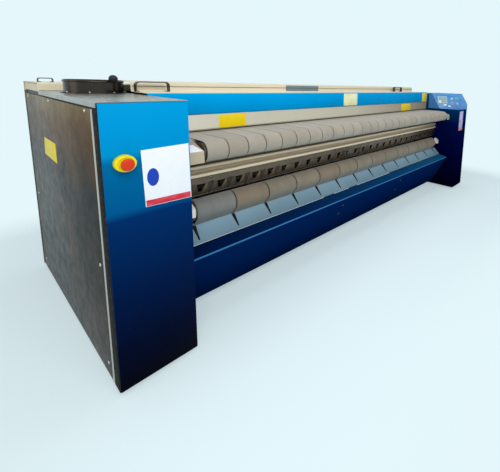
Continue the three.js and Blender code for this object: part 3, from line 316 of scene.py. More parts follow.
def rubber(name, colour):
    """Matt black rubber with grey dust in its grain."""
    look = Look(name, specular_ior_level=0.05)
    dust = look.noise(40, detail=6)
    look.colour(look.mix(look.remap(dust, 0.5, 0.75, 0, 0.35), colour, (0.16, 0.15, 0.14)))
    look.set("Roughness", look.remap(dust, 0.3, 0.7, 0.6, 0.85))
    return look.done(look.bump(look.noise(700, detail=3), 0.0004, 0.5))


def woven(name, light, dark, stain, start, pitch, thread=0.0016, edge=0.012, worn=None):
    """Woven belting: crossed threads, a tone of its own for each belt, painted shade along the belt edges by the gaps,
    and long smears.
    """
    look = Look(name, sheen_weight=0.2, sheen_roughness=0.6)
    across = look.math("DIVIDE", look.math("SUBTRACT", look.axis(X), start), pitch)
    own = look.node("ShaderNodeTexWhiteNoise", {"W": look.math("FLOOR", across)},
                    noise_dimensions="1D").outputs["Value"]
    side = look.math("ABSOLUTE", look.math("SUBTRACT", look.math("FRACT", across), 0.5))
    gap_shade = look.remap(side, 0.5 - edge * 4, 0.5 - edge)
    base = look.mix(own, dark, light)
    if worn:
        base = look.mix(look.math("LESS_THAN", across, 1.0), base, worn)
    smear = look.noise(7, (1.0, 0.35, 0.35), detail=6, rough=0.65)
    base = look.mix(look.remap(smear, 0.42, 0.72, 0, 0.5), base, stain)
    fibre = look.noise(220, detail=4, rough=0.7)
    base = look.mix(look.remap(fibre, 0.35, 0.7, 0, 0.3), base, darker(dark, 0.7))
    # Each belt's edges are painted darker: a painted shade beside the gaps between belts.
    base = look.mix(look.math("MULTIPLY", gap_shade, 0.6), base, darker(dark, 0.35))
    look.colour(base)
    look.set("Roughness", look.remap(smear, 0.3, 0.7, 0.75, 0.92))
    frequency = 2 * math.pi / thread
    warp = look.math("SINE", look.math("MULTIPLY", look.axis(X), frequency))
    around = look.math("ADD", look.axis(Y), look.axis(Z))
    weft = look.math("SINE", look.math("MULTIPLY", around, frequency))
    normal = look.bump(look.math("MULTIPLY", warp, weft), thread * 0.25, 0.5)
    return look.done(look.bump(smear, 0.002, 0.35, over=normal))


def glass_display(name):
    """The display's window: clear-coated grey-green glass with a slight haze."""
    look = Look(name, roughness=0.08, coat_weight=1.0, coat_roughness=0.03)
    haze = look.noise(60, detail=5)
    look.colour(look.mix(look.remap(haze, 0.3, 0.7), srgb(126, 152, 142), srgb(172, 186, 172)))
    look.set("Roughness", look.remap(haze, 0.3, 0.7, 0.08, 0.2))
    return look.done(look.bump(haze, 0.0001, 0.2))


def laminated(name, colour, roughness=0.3, field=None):
    """A laminated plate left bare: film sheen, slight curl marks and dust; a field gives it a paler middle."""
    look = Look(name, coat_weight=0.08, coat_roughness=0.15, specular_ior_level=0.2)
    dust = look.noise(25, detail=6)
    base = look.mix(look.remap(dust, 0.5, 0.85, 0, 0.15), colour, darker(colour, 0.75))
    if field:
        base = look.mix(look.remap(look.noise(8, (1, 1, 3), detail=2), 0.45, 0.62, 0, 0.5), base, field)
    look.colour(base)
    look.set("Roughness", look.remap(dust, 0.3, 0.7, roughness * 0.8, roughness * 1.3))
    return look.done(look.bump(look.noise(50, detail=3), 0.0003, 0.3))


# Painted reflection and shade on the left cabinet's front: near black at the floor, navy below 0.86 m, azure above it
# and brightest over 1.15 m.
CABINET_PAINTED_REFLECTION_TONES = tones((0.0, 0, 0, 6), (0.25, 0, 10, 40), (0.5, 0, 24, 66), (0.86, 0, 44, 98), (0.9, 0, 84, 138),
                      (1.13, 0, 102, 154), (1.17, 0, 140, 200), (1.42, 0, 152, 212))
# Painted reflection and shade on the fascia: brightest at its top edge, darker towards its foot.
FASCIA_PAINTED_REFLECTION_TONES = tones((1.26, 4, 140, 200), (1.34, 0, 156, 224), (1.42, 0, 168, 236))
# Painted reflection and shade on the kick panel: near black at its foot, navy above; the last two stops paint a bright
# highlight along the ledge's front edge.
KICK_PAINTED_SHADE_AND_HIGHLIGHT_TONES = tones((0.05, 0, 18, 56), (0.25, 1, 30, 78), (0.4, 2, 34, 84), (0.46, 2, 34, 84), (0.4625, 52, 116, 168),
                   (0.4695, 60, 126, 178))
# Painted reflection on the ledge top above LEDGE_HEIGHT: darker at the left, brightening towards the right.
LEDGE_PAINTED_REFLECTION_TONES = tones((-1.9, 2, 24, 66), (-1.0, 8, 38, 84), (0.3, 14, 66, 112), (1.9, 26, 96, 140))
LEDGE_HEIGHT = 0.4697
# Painted reflection and shade on the end walls and the right cabinet front: near black at the floor, navy higher up,
# teal towards the top.
WALL_PAINTED_SHADE_TONES = tones((0.0, 1, 1, 14), (0.5, 1, 6, 50), (0.95, 1, 14, 70), (1.2, 0, 50, 92), (1.4, 0, 84, 122))
# Painted reflections on the brushed side doors: dark brown low down, a bluish band near 0.9 m, warming and brightening
# towards the top.
SIDE_PAINTED_REFLECTION_TONES = tones((0.1, 20, 14, 12), (0.7, 30, 24, 18), (0.92, 16, 22, 44), (1.08, 78, 56, 34), (1.25, 116, 86, 52),
                   (1.4, 164, 150, 126))
COVER_TONES = tones((-0.71, 196, 184, 158), (-0.69, 190, 178, 152), (-0.62, 160, 152, 136), (-0.5, 158, 152, 138))
# Painted light on the finger guard: bright at its left end, falling off to darker tones towards the right.
GUARD_PAINTED_LIGHT_FALLOFF_TONES = tones((-1.95, 240, 237, 220), (-1.4, 216, 212, 194), (0.0, 206, 202, 184), (1.2, 176, 168, 150),
                    (1.95, 150, 138, 120))
# Painted highlights on the nip guard bar: two narrow bright bands on its ridges, with a darker groove and edges between
# them.
RIDGE_PAINTED_HIGHLIGHT_TONES = tones((0.88, 150, 134, 116), (0.892, 252, 242, 222), (0.905, 255, 244, 226), (0.915, 172, 152, 132),
                    (0.938, 190, 172, 152), (0.946, 250, 238, 218), (0.966, 232, 218, 198))

ROLLERS = ("nose_roller", "feed_rear_roller", "entry_roller", "upper_rear_roller", "lower_rear_roller",
           "lower_front_roller", "exit_roller")
BELT_COUNT, BAND_COUNT = 26, 13
LEFT_MARGIN, RIGHT_MARGIN = 0.157, 0.1
belt_start = SKIN_START + LEFT_MARGIN
belt_end = SKIN_END - RIGHT_MARGIN
BELT_PITCH = (belt_end - belt_start) / BELT_COUNT
BAND_PITCH = (belt_end - belt_start) / BAND_COUNT

paint = {
    "cabinet_blue": enamel("cabinet_enamel_painted_reflection", CABINET_PAINTED_REFLECTION_TONES),
    "fascia_blue": enamel("fascia_enamel_painted_reflection", FASCIA_PAINTED_REFLECTION_TONES, roughness=0.26),
    "kick_blue": enamel("kick_panel_enamel_painted_shade_highlight", KICK_PAINTED_SHADE_AND_HIGHLIGHT_TONES, roughness=0.45, gloss=0.0, drift=0.0,
                        shelf=(LEDGE_HEIGHT, LEDGE_PAINTED_REFLECTION_TONES)),
    "wall_blue": enamel("end_wall_enamel_painted_shade", WALL_PAINTED_SHADE_TONES, roughness=0.45, gloss=0.0),
    "rear_blue": enamel("rear_azure_enamel", tones((0, 0, 98, 152))),
    "console_blue": enamel("console_enamel", tones((0, 70, 124, 184)), roughness=0.35),
    "cream": enamel("cream_enamel", tones((0, 226, 216, 190)), roughness=0.42, grime=0.3),
    "guard_cream": enamel("finger_guard_enamel_painted_light", GUARD_PAINTED_LIGHT_FALLOFF_TONES, along=X, roughness=0.42, grime=0.4),
    "cover_cream": enamel("feed_end_cover_enamel", COVER_TONES, along=Y, roughness=0.4, grime=0.4, drift=0.004),
    "pale": enamel("slide_plate_enamel", tones((0.48, 112, 140, 154), (0.6, 140, 170, 188)), roughness=0.36, grime=0.3),
    "black": machine_paint("black_paint", srgb(30, 30, 34), roughness=0.5, cast=0.2),
    "grey": machine_paint("machine_grey_paint", srgb(88, 90, 94)),
    "cast": machine_paint("cast_grey_paint", srgb(74, 78, 82), cast=0.8),
}
metal = {
    "side": brushed("brushed_side_sheet_painted_reflection", srgb(205, 190, 150), along=Z, roughness=0.4, stops=SIDE_PAINTED_REFLECTION_TONES,
                    tint=srgb(120, 96, 70), stain=0.25, metallic=0.3, gloss=0.1),
    "patch": brushed("patch_sheet", srgb(122, 140, 148), along=X, roughness=0.5, stain=0.5, tint=srgb(96, 112, 120),
                     metallic=0.2),
    "flange": brushed("flange_sheet_painted_highlight", srgb(186, 180, 166), along=Z, roughness=0.3, stain=0.3, metallic=0.6),
    "top": brushed("brushed_top_sheet", srgb(160, 158, 150), along=Y, roughness=0.28, stain=0.45,
                   tint=srgb(128, 112, 90), metallic=0.8),
    "ridge": brushed("brushed_guard_sheet_painted_highlights", srgb(250, 240, 224), along=X, roughness=0.4, stain=0.2,
                     tint=srgb(200, 176, 146), stops=RIDGE_PAINTED_HIGHLIGHT_TONES, metallic=0.25, grain=0.05, drift=0.003),
    "strip": brushed("stained_strip_sheet", srgb(112, 98, 84), along=X, roughness=0.34, stain=0.8,
                     tint=srgb(62, 54, 44), metallic=0.7),
    "bed": brushed("bed_sheet", srgb(190, 182, 166), along=X, roughness=0.4, stain=0.4, metallic=0.4),
    "polished": turned_metal("polished_cylinder_steel", srgb(214, 210, 200), roughness=0.12),
    "turned": turned_metal("turned_roller_steel", srgb(178, 174, 166), roughness=0.28, rust=0.3),
    "dark": turned_metal("oiled_dark_steel", srgb(92, 82, 72), roughness=0.34, rust=0.4),
    "collar": brushed("weathered_collar_steel", srgb(62, 56, 50), along=Z, roughness=0.2, stain=0.9,
                      tint=srgb(20, 15, 12), metallic=0.9),
    "handle": brushed("handle_steel", srgb(84, 76, 68), along=Z, roughness=0.3, stain=0.5,
                      tint=srgb(44, 38, 32), metallic=0.8),
    "zinc": turned_metal("zinc_plated_steel", srgb(200, 200, 196), roughness=0.3),
}
cloth = {
    "belt": woven("feed_belt_weave", srgb(168, 159, 143), srgb(158, 148, 132), srgb(142, 132, 114), belt_start,
                  BELT_PITCH),
    "band": woven("ironing_band_weave", srgb(134, 126, 108), srgb(132, 116, 96), srgb(104, 92, 72), belt_start,
                  BAND_PITCH, worn=srgb(124, 128, 126)),
}
moulded = {
    "yellow": plastic("yellow_plastic", srgb(240, 222, 16), roughness=0.28),
    "red": plastic("red_plastic", srgb(214, 52, 18), roughness=0.42),
    "black": plastic("black_plastic", srgb(24, 24, 28), roughness=0.45),
    "ice": plastic("ice_button", srgb(176, 216, 244)),
    "teal": plastic("teal_button", srgb(60, 178, 176)),
    "rose": plastic("rose_button", srgb(196, 118, 176)),
    "sky": plastic("sky_button", srgb(128, 180, 240)),
    "white": plastic("white_nylon", srgb(238, 236, 228), roughness=0.4),
    "light": plastic("light_blue_plastic", srgb(172, 206, 226), roughness=0.4),
    "foot": rubber("foot_rubber", srgb(34, 34, 34)),
    # This black rubber serves the real joint lines and also the black strips that stand in for shade in the recess and
    # the slits.
    "joint_and_shade_black": rubber("joint_and_shade_black_rubber", srgb(22, 21, 20)),
}
plates = {
    "white": laminated("white_plate", srgb(238, 240, 244)),
    "yellow": laminated("yellow_plate", srgb(246, 216, 14)),
    "gold": laminated("gold_plate", srgb(236, 210, 16), roughness=0.45),
    "blue": laminated("blue_plate", srgb(22, 62, 178)),
    "lilac": laminated("lilac_plate", srgb(196, 178, 222), field=srgb(70, 84, 168)),
    "red": laminated("red_plate", srgb(206, 40, 58), field=srgb(226, 130, 140)),
    "ivory": laminated("ivory_plate", srgb(246, 246, 206), field=srgb(226, 222, 120)),
    "overlay": laminated("console_overlay", srgb(92, 152, 206), field=srgb(60, 112, 190)),
    "display": glass_display("display_window"),
}

NODE_LOOKS = (
    (paint, {
        "cabinet_blue": ["left_front_panel"],
        "fascia_blue": ["fascia"],
        "rear_blue": ["rear_cover"],
        "kick_blue": ["kick_panel"],
        "wall_blue": ["right_front_panel", "left_end_plate", "right_end_plate"],
        "console_blue": ["console_housing"],
        "cream": ["hood", "rear_top_cover"],
        "guard_cream": ["finger_guard"],
        "cover_cream": ["left_feed_end_cover", "right_feed_end_cover"],
        "pale": ["slide_plate"],
        "black": ["left_cabinet_frame", "right_cabinet_frame", "estop_stem"],
        "grey": ["front_cross_beam", "rear_cross_beam", "fan_housing"],
        "cast": ["fan_motor", "gearmotor", "rotary_joint"],
    }),
    (metal, {
        "handle": ["hood_handle_left", "hood_handle_right", "rear_handle"],
        "side": ["left_side_panel", "right_side_panel"],
        "top": ["left_top_cover", "right_top_cover", "left_rear_cover", "right_rear_cover"],
        "ridge": ["nip_guard_bar"],
        "strip": ["belt_guide_strip"],
        "polished": ["heated_cylinder"],
        "turned": [*ROLLERS, "stripper_bar", "fan_wheel"],
        "dark": ["drum_sprocket", "motor_sprocket", "drive_chain"],
        "collar": ["exhaust_collar"],
    }),
    (cloth, {"belt": ["feed_bed"], "band": ["ironing_bands"]}),
    (moulded, {
        "yellow": ["estop_base"],
        "red": ["estop_mushroom"],
        "ice": ["button_yellow"],
        "teal": ["button_green"],
        "rose": ["button_red"],
        "sky": ["button_blue"],
        "foot": ["left_front_foot", "left_rear_foot", "right_front_foot", "right_rear_foot"],
    }),
)


def dress(obj, material):
    """Give an object its one material."""
    obj.data.materials.clear()
    obj.data.materials.append(material)


for family, worn_by in NODE_LOOKS:
    for key, names in worn_by.items():
        for name in names:
            dress(nodes[name], family[key])

# ---------------------------------------------------------------- shaping with bmesh operators

BMVert, BMEdge, BMFace = bmesh.types.BMVert, bmesh.types.BMEdge, bmesh.types.BMFace
RIGHTWARD, BACKWARD, UPWARD = Vector((1, 0, 0)), Vector((0, 1, 0)), Vector((0, 0, 1))
OUTWARD = -BACKWARD
SHARP_ANGLE = math.radians(32)
CORNER_ANGLE = math.radians(50)


def section(x, path):
    """A path given back and up, stood at one place along the machine."""
    return [Vector((x, y, z)) for y, z in path]


def outline_disc(centre, across, up, radius, sides=40):
    """The corners of a round plate that lies along across and up."""
    return [centre + across * radius * math.cos(2 * math.pi * i / sides)
            + up * radius * math.sin(2 * math.pi * i / sides) for i in range(sides)]


def bent(points, radius, steps=6):
    """A path with its corners turned into arcs."""
    path = [points[0]]
    for before, corner, after in zip(points, points[1:], points[2:]):
        back = (before - corner).normalized()
        on = (after - corner).normalized()
        half = back.angle(on) / 2
        reach = radius / math.tan(half)
        centre = corner + (back + on).normalized() * radius / math.sin(half)
        start = corner + back * reach - centre
        turn = start.rotation_difference(corner + on * reach - centre)
        for i in range(steps + 1):
            path.append(centre + Matrix.Rotation(turn.angle * i / steps, 3, turn.axis) @ start)
    return path + [points[-1]]


def picked(made, kind):
    """The elements of one kind among those that an operator made."""
    return [g for g in made["geom"] if isinstance(g, kind)]


def stand(name, mesh, material):
    """An object at the origin that carries a finished bmesh and one material."""
    data = bpy.data.meshes.new(name)
    mesh.to_mesh(data)
    mesh.free()
    obj = bpy.data.objects.new(name, data)
    bpy.context.scene.collection.objects.link(obj)
    dress(obj, material)
    return obj


class Shape:
    """A mesh in the making: bmesh operators shape it at its own place in the row frame."""

    def __init__(self):
        self.mesh = bmesh.new()

    def chain(self, points, closed=False):
        """Corners joined by edges into an open or closed path."""
        corners = [self.mesh.verts.new(p) for p in points]
        following = corners[1:] + corners[:1] if closed else corners[1:]
        return corners, [self.mesh.edges.new(pair) for pair in zip(corners, following)]

    def soften(self, edges, width, segments=2):
        """Round edges over with a narrow bevel, each edge once and in the order given."""
        bmesh.ops.bevel(self.mesh, geom=list(dict.fromkeys(edges)), offset=width, offset_type="OFFSET",
                        segments=segments, profile=0.5, affect="EDGES", material=-1, clamp_overlap=True)

    def outline(self, corners):
        """One flat face with these corners."""
        return self.mesh.faces.new([self.mesh.verts.new(p) for p in corners])

    def push(self, made, along):
        """Carry what an extrusion made along a vector."""
        moved = picked(made, BMVert)
        bmesh.ops.translate(self.mesh, vec=along, verts=moved)
        return moved

    def raised(self, face, along, bevel=0.0):
        """A face pushed along a vector into a solid whose far rim is softened."""
        moved = self.push(bmesh.ops.extrude_face_region(self.mesh, geom=[face]), along)
        if bevel:
            self.soften((e for v in moved for e in v.link_edges if e.other_vert(v) in moved), bevel)
        return self

    def prism(self, corners, along, bevel=0.0):
        """A flat outline pushed along a vector into a solid."""
        return self.raised(self.outline(corners), along, bevel)

    def ribbon(self, path, along, wall, closed=False, bevel=0.0):
        """A path drawn out along a vector into a strip that is given a wall; its rim is softened."""
        _, edges = self.chain(path, closed)
        made = bmesh.ops.extrude_edge_only(self.mesh, edges=edges)
        self.push(made, along)
        strip = picked(made, BMFace)
        bmesh.ops.recalc_face_normals(self.mesh, faces=strip)
        walled = bmesh.ops.solidify(self.mesh, geom=strip, thickness=wall)
        if bevel:
            faces = picked(walled, BMFace) + strip
            self.soften((e for f in faces for e in f.edges if e.calc_face_angle(0) > CORNER_ANGLE), bevel, 1)
        return self

    def turned(self, profile, centre, axis, steps=48, closed=False):
        """A profile of (distance along the axis, radius) spun all the way round it."""
        side = axis.orthogonal().normalized()
        corners, edges = self.chain([centre + axis * along + side * radius for along, radius in profile], closed)
        bmesh.ops.spin(self.mesh, geom=corners + edges, cent=centre, axis=axis, angle=2 * math.pi, steps=steps,
                       use_merge=True)
        return self

    def block(self, lowest, highest, bevel=0.0):
        """A box between two corners, with softened edges."""
        made = bmesh.ops.create_cube(self.mesh, size=1)
        bmesh.ops.scale(self.mesh, vec=highest - lowest, verts=made["verts"])
        bmesh.ops.translate(self.mesh, vec=(lowest + highest) / 2, verts=made["verts"])
        if bevel:
            self.soften((e for v in made["verts"] for e in v.link_edges), bevel)
        return self

    def plate(self, centre, across, up, width, height, thickness, bevel=0.0006):
        """A thin plate standing on a surface: centre on the surface, lying along across and up."""
        out = across.cross(up)
        corners = [centre + across * sx * width / 2 + up * sy * height / 2
                   for sx, sy in ((-1, -1), (1, -1), (1, 1), (-1, 1))]
        return self.prism(corners, out * thickness, bevel)

    def bolt(self, centre, out, radius, height):
        """A low domed hexagon-socket screw head with its socket."""
        return self.turned([(0, radius), (height * 0.45, radius), (height * 0.85, radius * 0.8),
                            (height, radius * 0.5), (height * 0.35, radius * 0.42), (height * 0.35, 0.0)],
                           centre, out, 20)

    def finish(self, name, material, body="machine", slot=None, stands_for=()):
        """Clean the mesh, make it a smooth object, and say what it rides on and what it stands for."""
        bmesh.ops.remove_doubles(self.mesh, verts=self.mesh.verts, dist=1e-6)
        bmesh.ops.recalc_face_normals(self.mesh, faces=self.mesh.faces)
        obj = stand(name, self.mesh, material)
        obj.data.shade_smooth()
        obj.data.set_sharp_from_angle(angle=SHARP_ANGLE)
        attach(obj, body)
        if stands_for:
            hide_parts(*stands_for)
        return obj


# ---------------------------------------------------------------- cylinder and rollers

JOURNAL_RADIUS, JOURNAL_BORE = 0.02, 0.012
DRUM_JOURNAL_RADIUS, DRUM_JOURNAL_BORE = 0.045, 0.026
ROLLER_OVERHANG = 0.012
DRUM_END_GAP = 0.024
EDGE_ROUND = 0.003


def shaft(node, body, start, end, journal, bore, steps, material, slot):
    """A bored journal at each end of a roller whose edges are rounded."""
    y, z, radius = wheel_of(node)
    foot, head = low(node, X), high(node, X)
    profile = [(foot, bore), (foot, journal), (start, journal), (start, radius - EDGE_ROUND),
               (start + EDGE_ROUND, radius), (end - EDGE_ROUND, radius), (end, radius - EDGE_ROUND),
               (end, journal), (head, journal), (head, bore)]
    Shape().turned(profile, Vector((0, y, z)), RIGHTWARD, steps, closed=True).finish(
        node + "_smooth", material, body, slot, [node])


shaft("heated_cylinder", "drum", LEFT_WALL + DRUM_END_GAP, RIGHT_WALL - DRUM_END_GAP, DRUM_JOURNAL_RADIUS,
      DRUM_JOURNAL_BORE, 144, metal["polished"], "polished_steel")
for roller in ROLLERS:
    shaft(roller, roller, belt_start - ROLLER_OVERHANG, belt_end + ROLLER_OVERHANG, JOURNAL_RADIUS, JOURNAL_BORE,
          56, metal["dark" if roller == "nose_roller" else "turned"], "turned_steel")

# ---------------------------------------------------------------- feed belts and ironing bands

BELT_THICKNESS, BAND_THICKNESS = 0.003, 0.004
RUNNING_GAP, DRUM_RUNNING_GAP = 0.0015, 0.002
BELT_GAP, BAND_GAP = 0.004, 0.006
BELT_EDGE = 0.0009
BED_SETBACK, BED_END_GAP, BED_LIP = 0.084, 0.052, 0.026
SHEET = 0.0025
BAND_BAR_DEPTH, BAND_BAR_HEIGHT = 0.02, 0.04


def on_wheel(node):
    """A roller as a wheel of a loop: back, up, running radius and sense."""
    y, z, radius = wheel_of(node)
    return y, z, radius + RUNNING_GAP, 1


def loop_round(wheels, offset, step=math.radians(5)):
    """A closed smooth path round wheels (back, up, radius, sense); sense -1 lets a wheel press in from outside."""
    rims = [(y, z, radius + offset * sense, sense) for y, z, radius, sense in wheels]
    leaving, arriving = [], []
    for i, (y, z, r, sense) in enumerate(rims):
        y2, z2, r2, sense2 = rims[(i + 1) % len(rims)]
        lean = math.acos(max(-1.0, min(1.0, (sense * r - sense2 * r2) / math.hypot(z2 - z, y2 - y))))
        normal = math.atan2(z2 - z, y2 - y) - lean
        leaving.append(normal if sense > 0 else normal + math.pi)
        arriving.append(normal if sense2 > 0 else normal + math.pi)
    points = []
    for i, (y, z, r, sense) in enumerate(rims):
        start = arriving[i - 1]
        sweep = (leaving[i] - start) % (2 * math.pi)
        if sense < 0:
            sweep -= 2 * math.pi
        steps = max(2, round(abs(sweep) / step))
        points += [(y + r * math.cos(start + sweep * k / steps), z + r * math.sin(start + sweep * k / steps))
                   for k in range(steps + 1)]
    return points


def belt_set(wheels, wall, count, gap):
    """Woven belts side by side round the same wheels."""
    path = loop_round(wheels, wall)
    pitch = (belt_end - belt_start) / count
    shape = Shape()
    for i in range(count):
        shape.ribbon(section(belt_start + i * pitch + gap / 2, path), RIGHTWARD * (pitch - gap), -wall, closed=True,
                     bevel=BELT_EDGE)
    return shape


feed_wheels = [on_wheel("nose_roller"), on_wheel("feed_rear_roller")]
belt_set(feed_wheels, BELT_THICKNESS, BELT_COUNT, BELT_GAP).finish(
    "feed_belts_woven", cloth["belt"], slot="feed_belt", stands_for=["feed_bed"])

bed_top = high("feed_bed", Z) - BELT_THICKNESS
bed_front = wheel_of("nose_roller")[0] + BED_SETBACK
bed_back = wheel_of("feed_rear_roller")[0] - BED_END_GAP
bed_path = [(bed_front, bed_top - BED_LIP), (bed_front, bed_top), (bed_back, bed_top), (bed_back, bed_top - BED_LIP)]
Shape().ribbon(section(SKIN_START, bed_path), RIGHTWARD * (SKIN_END - SKIN_START), -SHEET).finish(
    "feed_bed_plate", metal["bed"], slot="brushed_sheet", stands_for=["feed_bed"])

drum_y, drum_z, drum_radius = wheel_of("heated_cylinder")
band_wheels = [on_wheel(n) for n in reversed(ROLLERS[2:])]
band_wheels.append((drum_y, drum_z, drum_radius + DRUM_RUNNING_GAP + BAND_THICKNESS, -1))
belt_set(band_wheels, BAND_THICKNESS, BAND_COUNT, BAND_GAP).finish(
    "ironing_bands_woven", cloth["band"], slot="ironing_band", stands_for=["ironing_bands"])

bar_back = high("ironing_bands", Y) - BAND_THICKNESS
Shape().block(Vector((SKIN_START, bar_back - BAND_BAR_DEPTH, drum_z - BAND_BAR_HEIGHT / 2)),
              Vector((SKIN_END, bar_back, drum_z + BAND_BAR_HEIGHT / 2)), EDGE_ROUND).finish(
    "band_guide_bar", metal["turned"], slot="turned_steel", stands_for=["ironing_bands"])

# ---------------------------------------------------------------- exhaust collar on the left cabinet

COLLAR_X, COLLAR_Y = 0.22, 0.89
COLLAR_RADIUS, COLLAR_WALL, COLLAR_HEIGHT = 0.15, 0.003, 0.08
COLLAR_FLANGE, COLLAR_FLANGE_HEIGHT = 0.016, 0.005
COLLAR_BEAD, COLLAR_LIP = 0.005, 0.001
KNOB_RADIUS, KNOB_REACH = 0.024, 0.167
KNOB_BEARING = math.radians(-70)
KNOB_INSIDE = 0.997
KNOB_STEM = [(-0.03, 0.0), (-0.03, 0.007), (-0.012, 0.009), (-0.012, 0.0)]
COLLAR_BOLTS, BOLT_RADIUS, BOLT_HEIGHT = 8, 0.006, 0.004

collar_centre = at(COLLAR_X, COLLAR_Y, low("exhaust_collar", Z))
bead_steps = [math.radians(a) for a in range(-90, 91, 30)]
bead_middle = COLLAR_HEIGHT - COLLAR_BEAD * 2
bead = [(bead_middle + COLLAR_BEAD * math.sin(a), COLLAR_RADIUS + COLLAR_BEAD * math.cos(a)) for a in bead_steps]
collar_profile = [
    (0, COLLAR_RADIUS - COLLAR_WALL), (0, COLLAR_RADIUS + COLLAR_FLANGE),
    (COLLAR_FLANGE_HEIGHT, COLLAR_RADIUS + COLLAR_FLANGE), (COLLAR_FLANGE_HEIGHT, COLLAR_RADIUS), *bead,
    (COLLAR_HEIGHT - COLLAR_LIP, COLLAR_RADIUS), (COLLAR_HEIGHT - COLLAR_LIP * 0.4, COLLAR_RADIUS - COLLAR_WALL / 2),
    (COLLAR_HEIGHT - COLLAR_LIP, COLLAR_RADIUS - COLLAR_WALL),
]
Shape().turned(collar_profile, collar_centre, UPWARD, 96, closed=True).finish(
    "exhaust_collar_ring", metal["collar"], slot="dark_steel", stands_for=["exhaust_collar"])

knob_out = Vector((math.cos(KNOB_BEARING), math.sin(KNOB_BEARING), 0))
knob_centre = collar_centre + knob_out * KNOB_REACH
knob_centre.z = high("exhaust_collar", Z) - KNOB_RADIUS
knob = Shape()
knob.turned([(KNOB_RADIUS * KNOB_INSIDE * math.sin(a), KNOB_RADIUS * KNOB_INSIDE * math.cos(a))
             for a in (math.radians(d) for d in range(-90, 91, 12))], knob_centre, UPWARD, 32)
knob.turned(KNOB_STEM, knob_centre, knob_out, 24)
knob.finish("collar_ball_knob", moulded["black"], slot="dark_steel", stands_for=["exhaust_collar"])

collar_bolts = Shape()
for i in range(COLLAR_BOLTS):
    bearing = 2 * math.pi * (i + 0.5) / COLLAR_BOLTS
    spot = collar_centre + UPWARD * COLLAR_FLANGE_HEIGHT + Vector((math.cos(bearing), math.sin(bearing), 0)) * (
        COLLAR_RADIUS + COLLAR_FLANGE / 2)
    collar_bolts.bolt(spot, UPWARD, BOLT_RADIUS, BOLT_HEIGHT)
collar_bolts.finish("collar_bolts", metal["zinc"], slot="turned_steel")

# ---------------------------------------------------------------- grab handles

HANDLE_STRAP = (0.034, 0.007, 0.018)  # depth, wall and bend radius
LOW_HANDLE_STRAP = (0.03, 0.006, 0.008)
HANDLE_FOOT = 0.004


def strap_handle(node, body, depth, wall, bend):
    """A flat strap bent to a bridge, welded to a foot at each end."""
    x0, x1 = low(node, X), high(node, X)
    y = (low(node, Y) + high(node, Y)) / 2 - depth / 2
    foot, head = low(node, Z), high(node, Z)
    corners = [Vector((x0, y, foot)), Vector((x0, y, head)), Vector((x1, y, head)), Vector((x1, y, foot))]
    shape = Shape().ribbon(bent(corners, bend), BACKWARD * depth, -wall, bevel=0.001)
    for x in (x0, x1 - wall * 2):
        shape.block(Vector((x, y - HANDLE_FOOT, foot)),
                    Vector((x + wall * 2, y + depth + HANDLE_FOOT, foot + HANDLE_FOOT)), 0.001)
    shape.finish(node + "_strap", metal["handle"], body, "dark_steel", [node])


strap_handle("hood_handle_left", "hood", *HANDLE_STRAP)
strap_handle("hood_handle_right", "hood", *HANDLE_STRAP)
strap_handle("rear_handle", "machine", *LOW_HANDLE_STRAP)

# ---------------------------------------------------------------- emergency stop

STOP_BORE, STOP_RADIUS, STOP_DEPTH = 0.0118, 0.038, 0.031
STOP_WIDENING = 1.14
STOP_DISH, STOP_DISH_FOOT, STOP_DISH_DEPTH = 0.029, 0.027, 0.003
HEAD_RADIUS, HEAD_START = 0.0262, 0.0385
stop_middle = (low("estop_base", Z) + high("estop_base", Z)) / 2
stop_centre = Vector(((low("estop_base", X) + high("estop_base", X)) / 2, high("estop_base", Y), stop_middle))
base_profile = [(0, STOP_BORE), (0, STOP_RADIUS), (STOP_DEPTH * 0.6, STOP_RADIUS),
                (STOP_DEPTH * 0.82, STOP_RADIUS - 0.0012), (STOP_DEPTH * 0.95, STOP_RADIUS - 0.004),
                (STOP_DEPTH, STOP_RADIUS - 0.008), (STOP_DEPTH, STOP_DISH),
                (STOP_DEPTH - STOP_DISH_DEPTH, STOP_DISH_FOOT), (STOP_DEPTH - STOP_DISH_DEPTH, STOP_BORE)]
stop = Shape().turned(base_profile, stop_centre, OUTWARD, 72, closed=True)
rim = [v for v in stop.mesh.verts if (v.co - stop_centre).cross(OUTWARD).length > STOP_RADIUS / 2]
bmesh.ops.scale(stop.mesh, vec=(STOP_WIDENING, 1, 1), verts=rim, space=Matrix.Translation(-stop_centre))
stop.finish("estop_base_moulded", moulded["yellow"], slot="yellow_plastic", stands_for=["estop_base"])

head_depth = high("estop_base", Y) - low("estop_mushroom", Y) - HEAD_START
MUSHROOM_PROFILE = [(0.0, 0.0), (0.0, 0.66), (0.06, 0.72), (0.16, 0.92), (0.24, 0.985), (0.34, 1.0), (0.62, 1.0),
                    (0.74, 0.975), (0.85, 0.9), (0.93, 0.74), (0.98, 0.4), (1.0, 0.0)]
Shape().turned([(HEAD_START + along * head_depth, wide * HEAD_RADIUS) for along, wide in MUSHROOM_PROFILE],
               stop_centre, OUTWARD, 64).finish("estop_mushroom_moulded", moulded["red"], "estop_head",
                                                "red_plastic", ["estop_mushroom"])

# ---------------------------------------------------------------- cabinet doors and the painted shade in the recess beside them

DOOR_SET, DOOR_EDGE = 0.004, 0.005
FLANGE_WIDTH, FLANGE_SET = 0.03, 0.0015
RECESS_SHADE_SET, RECESS_SHADE_DEPTH, RECESS_SHADE_GAP = 0.007, 0.008, 0.001


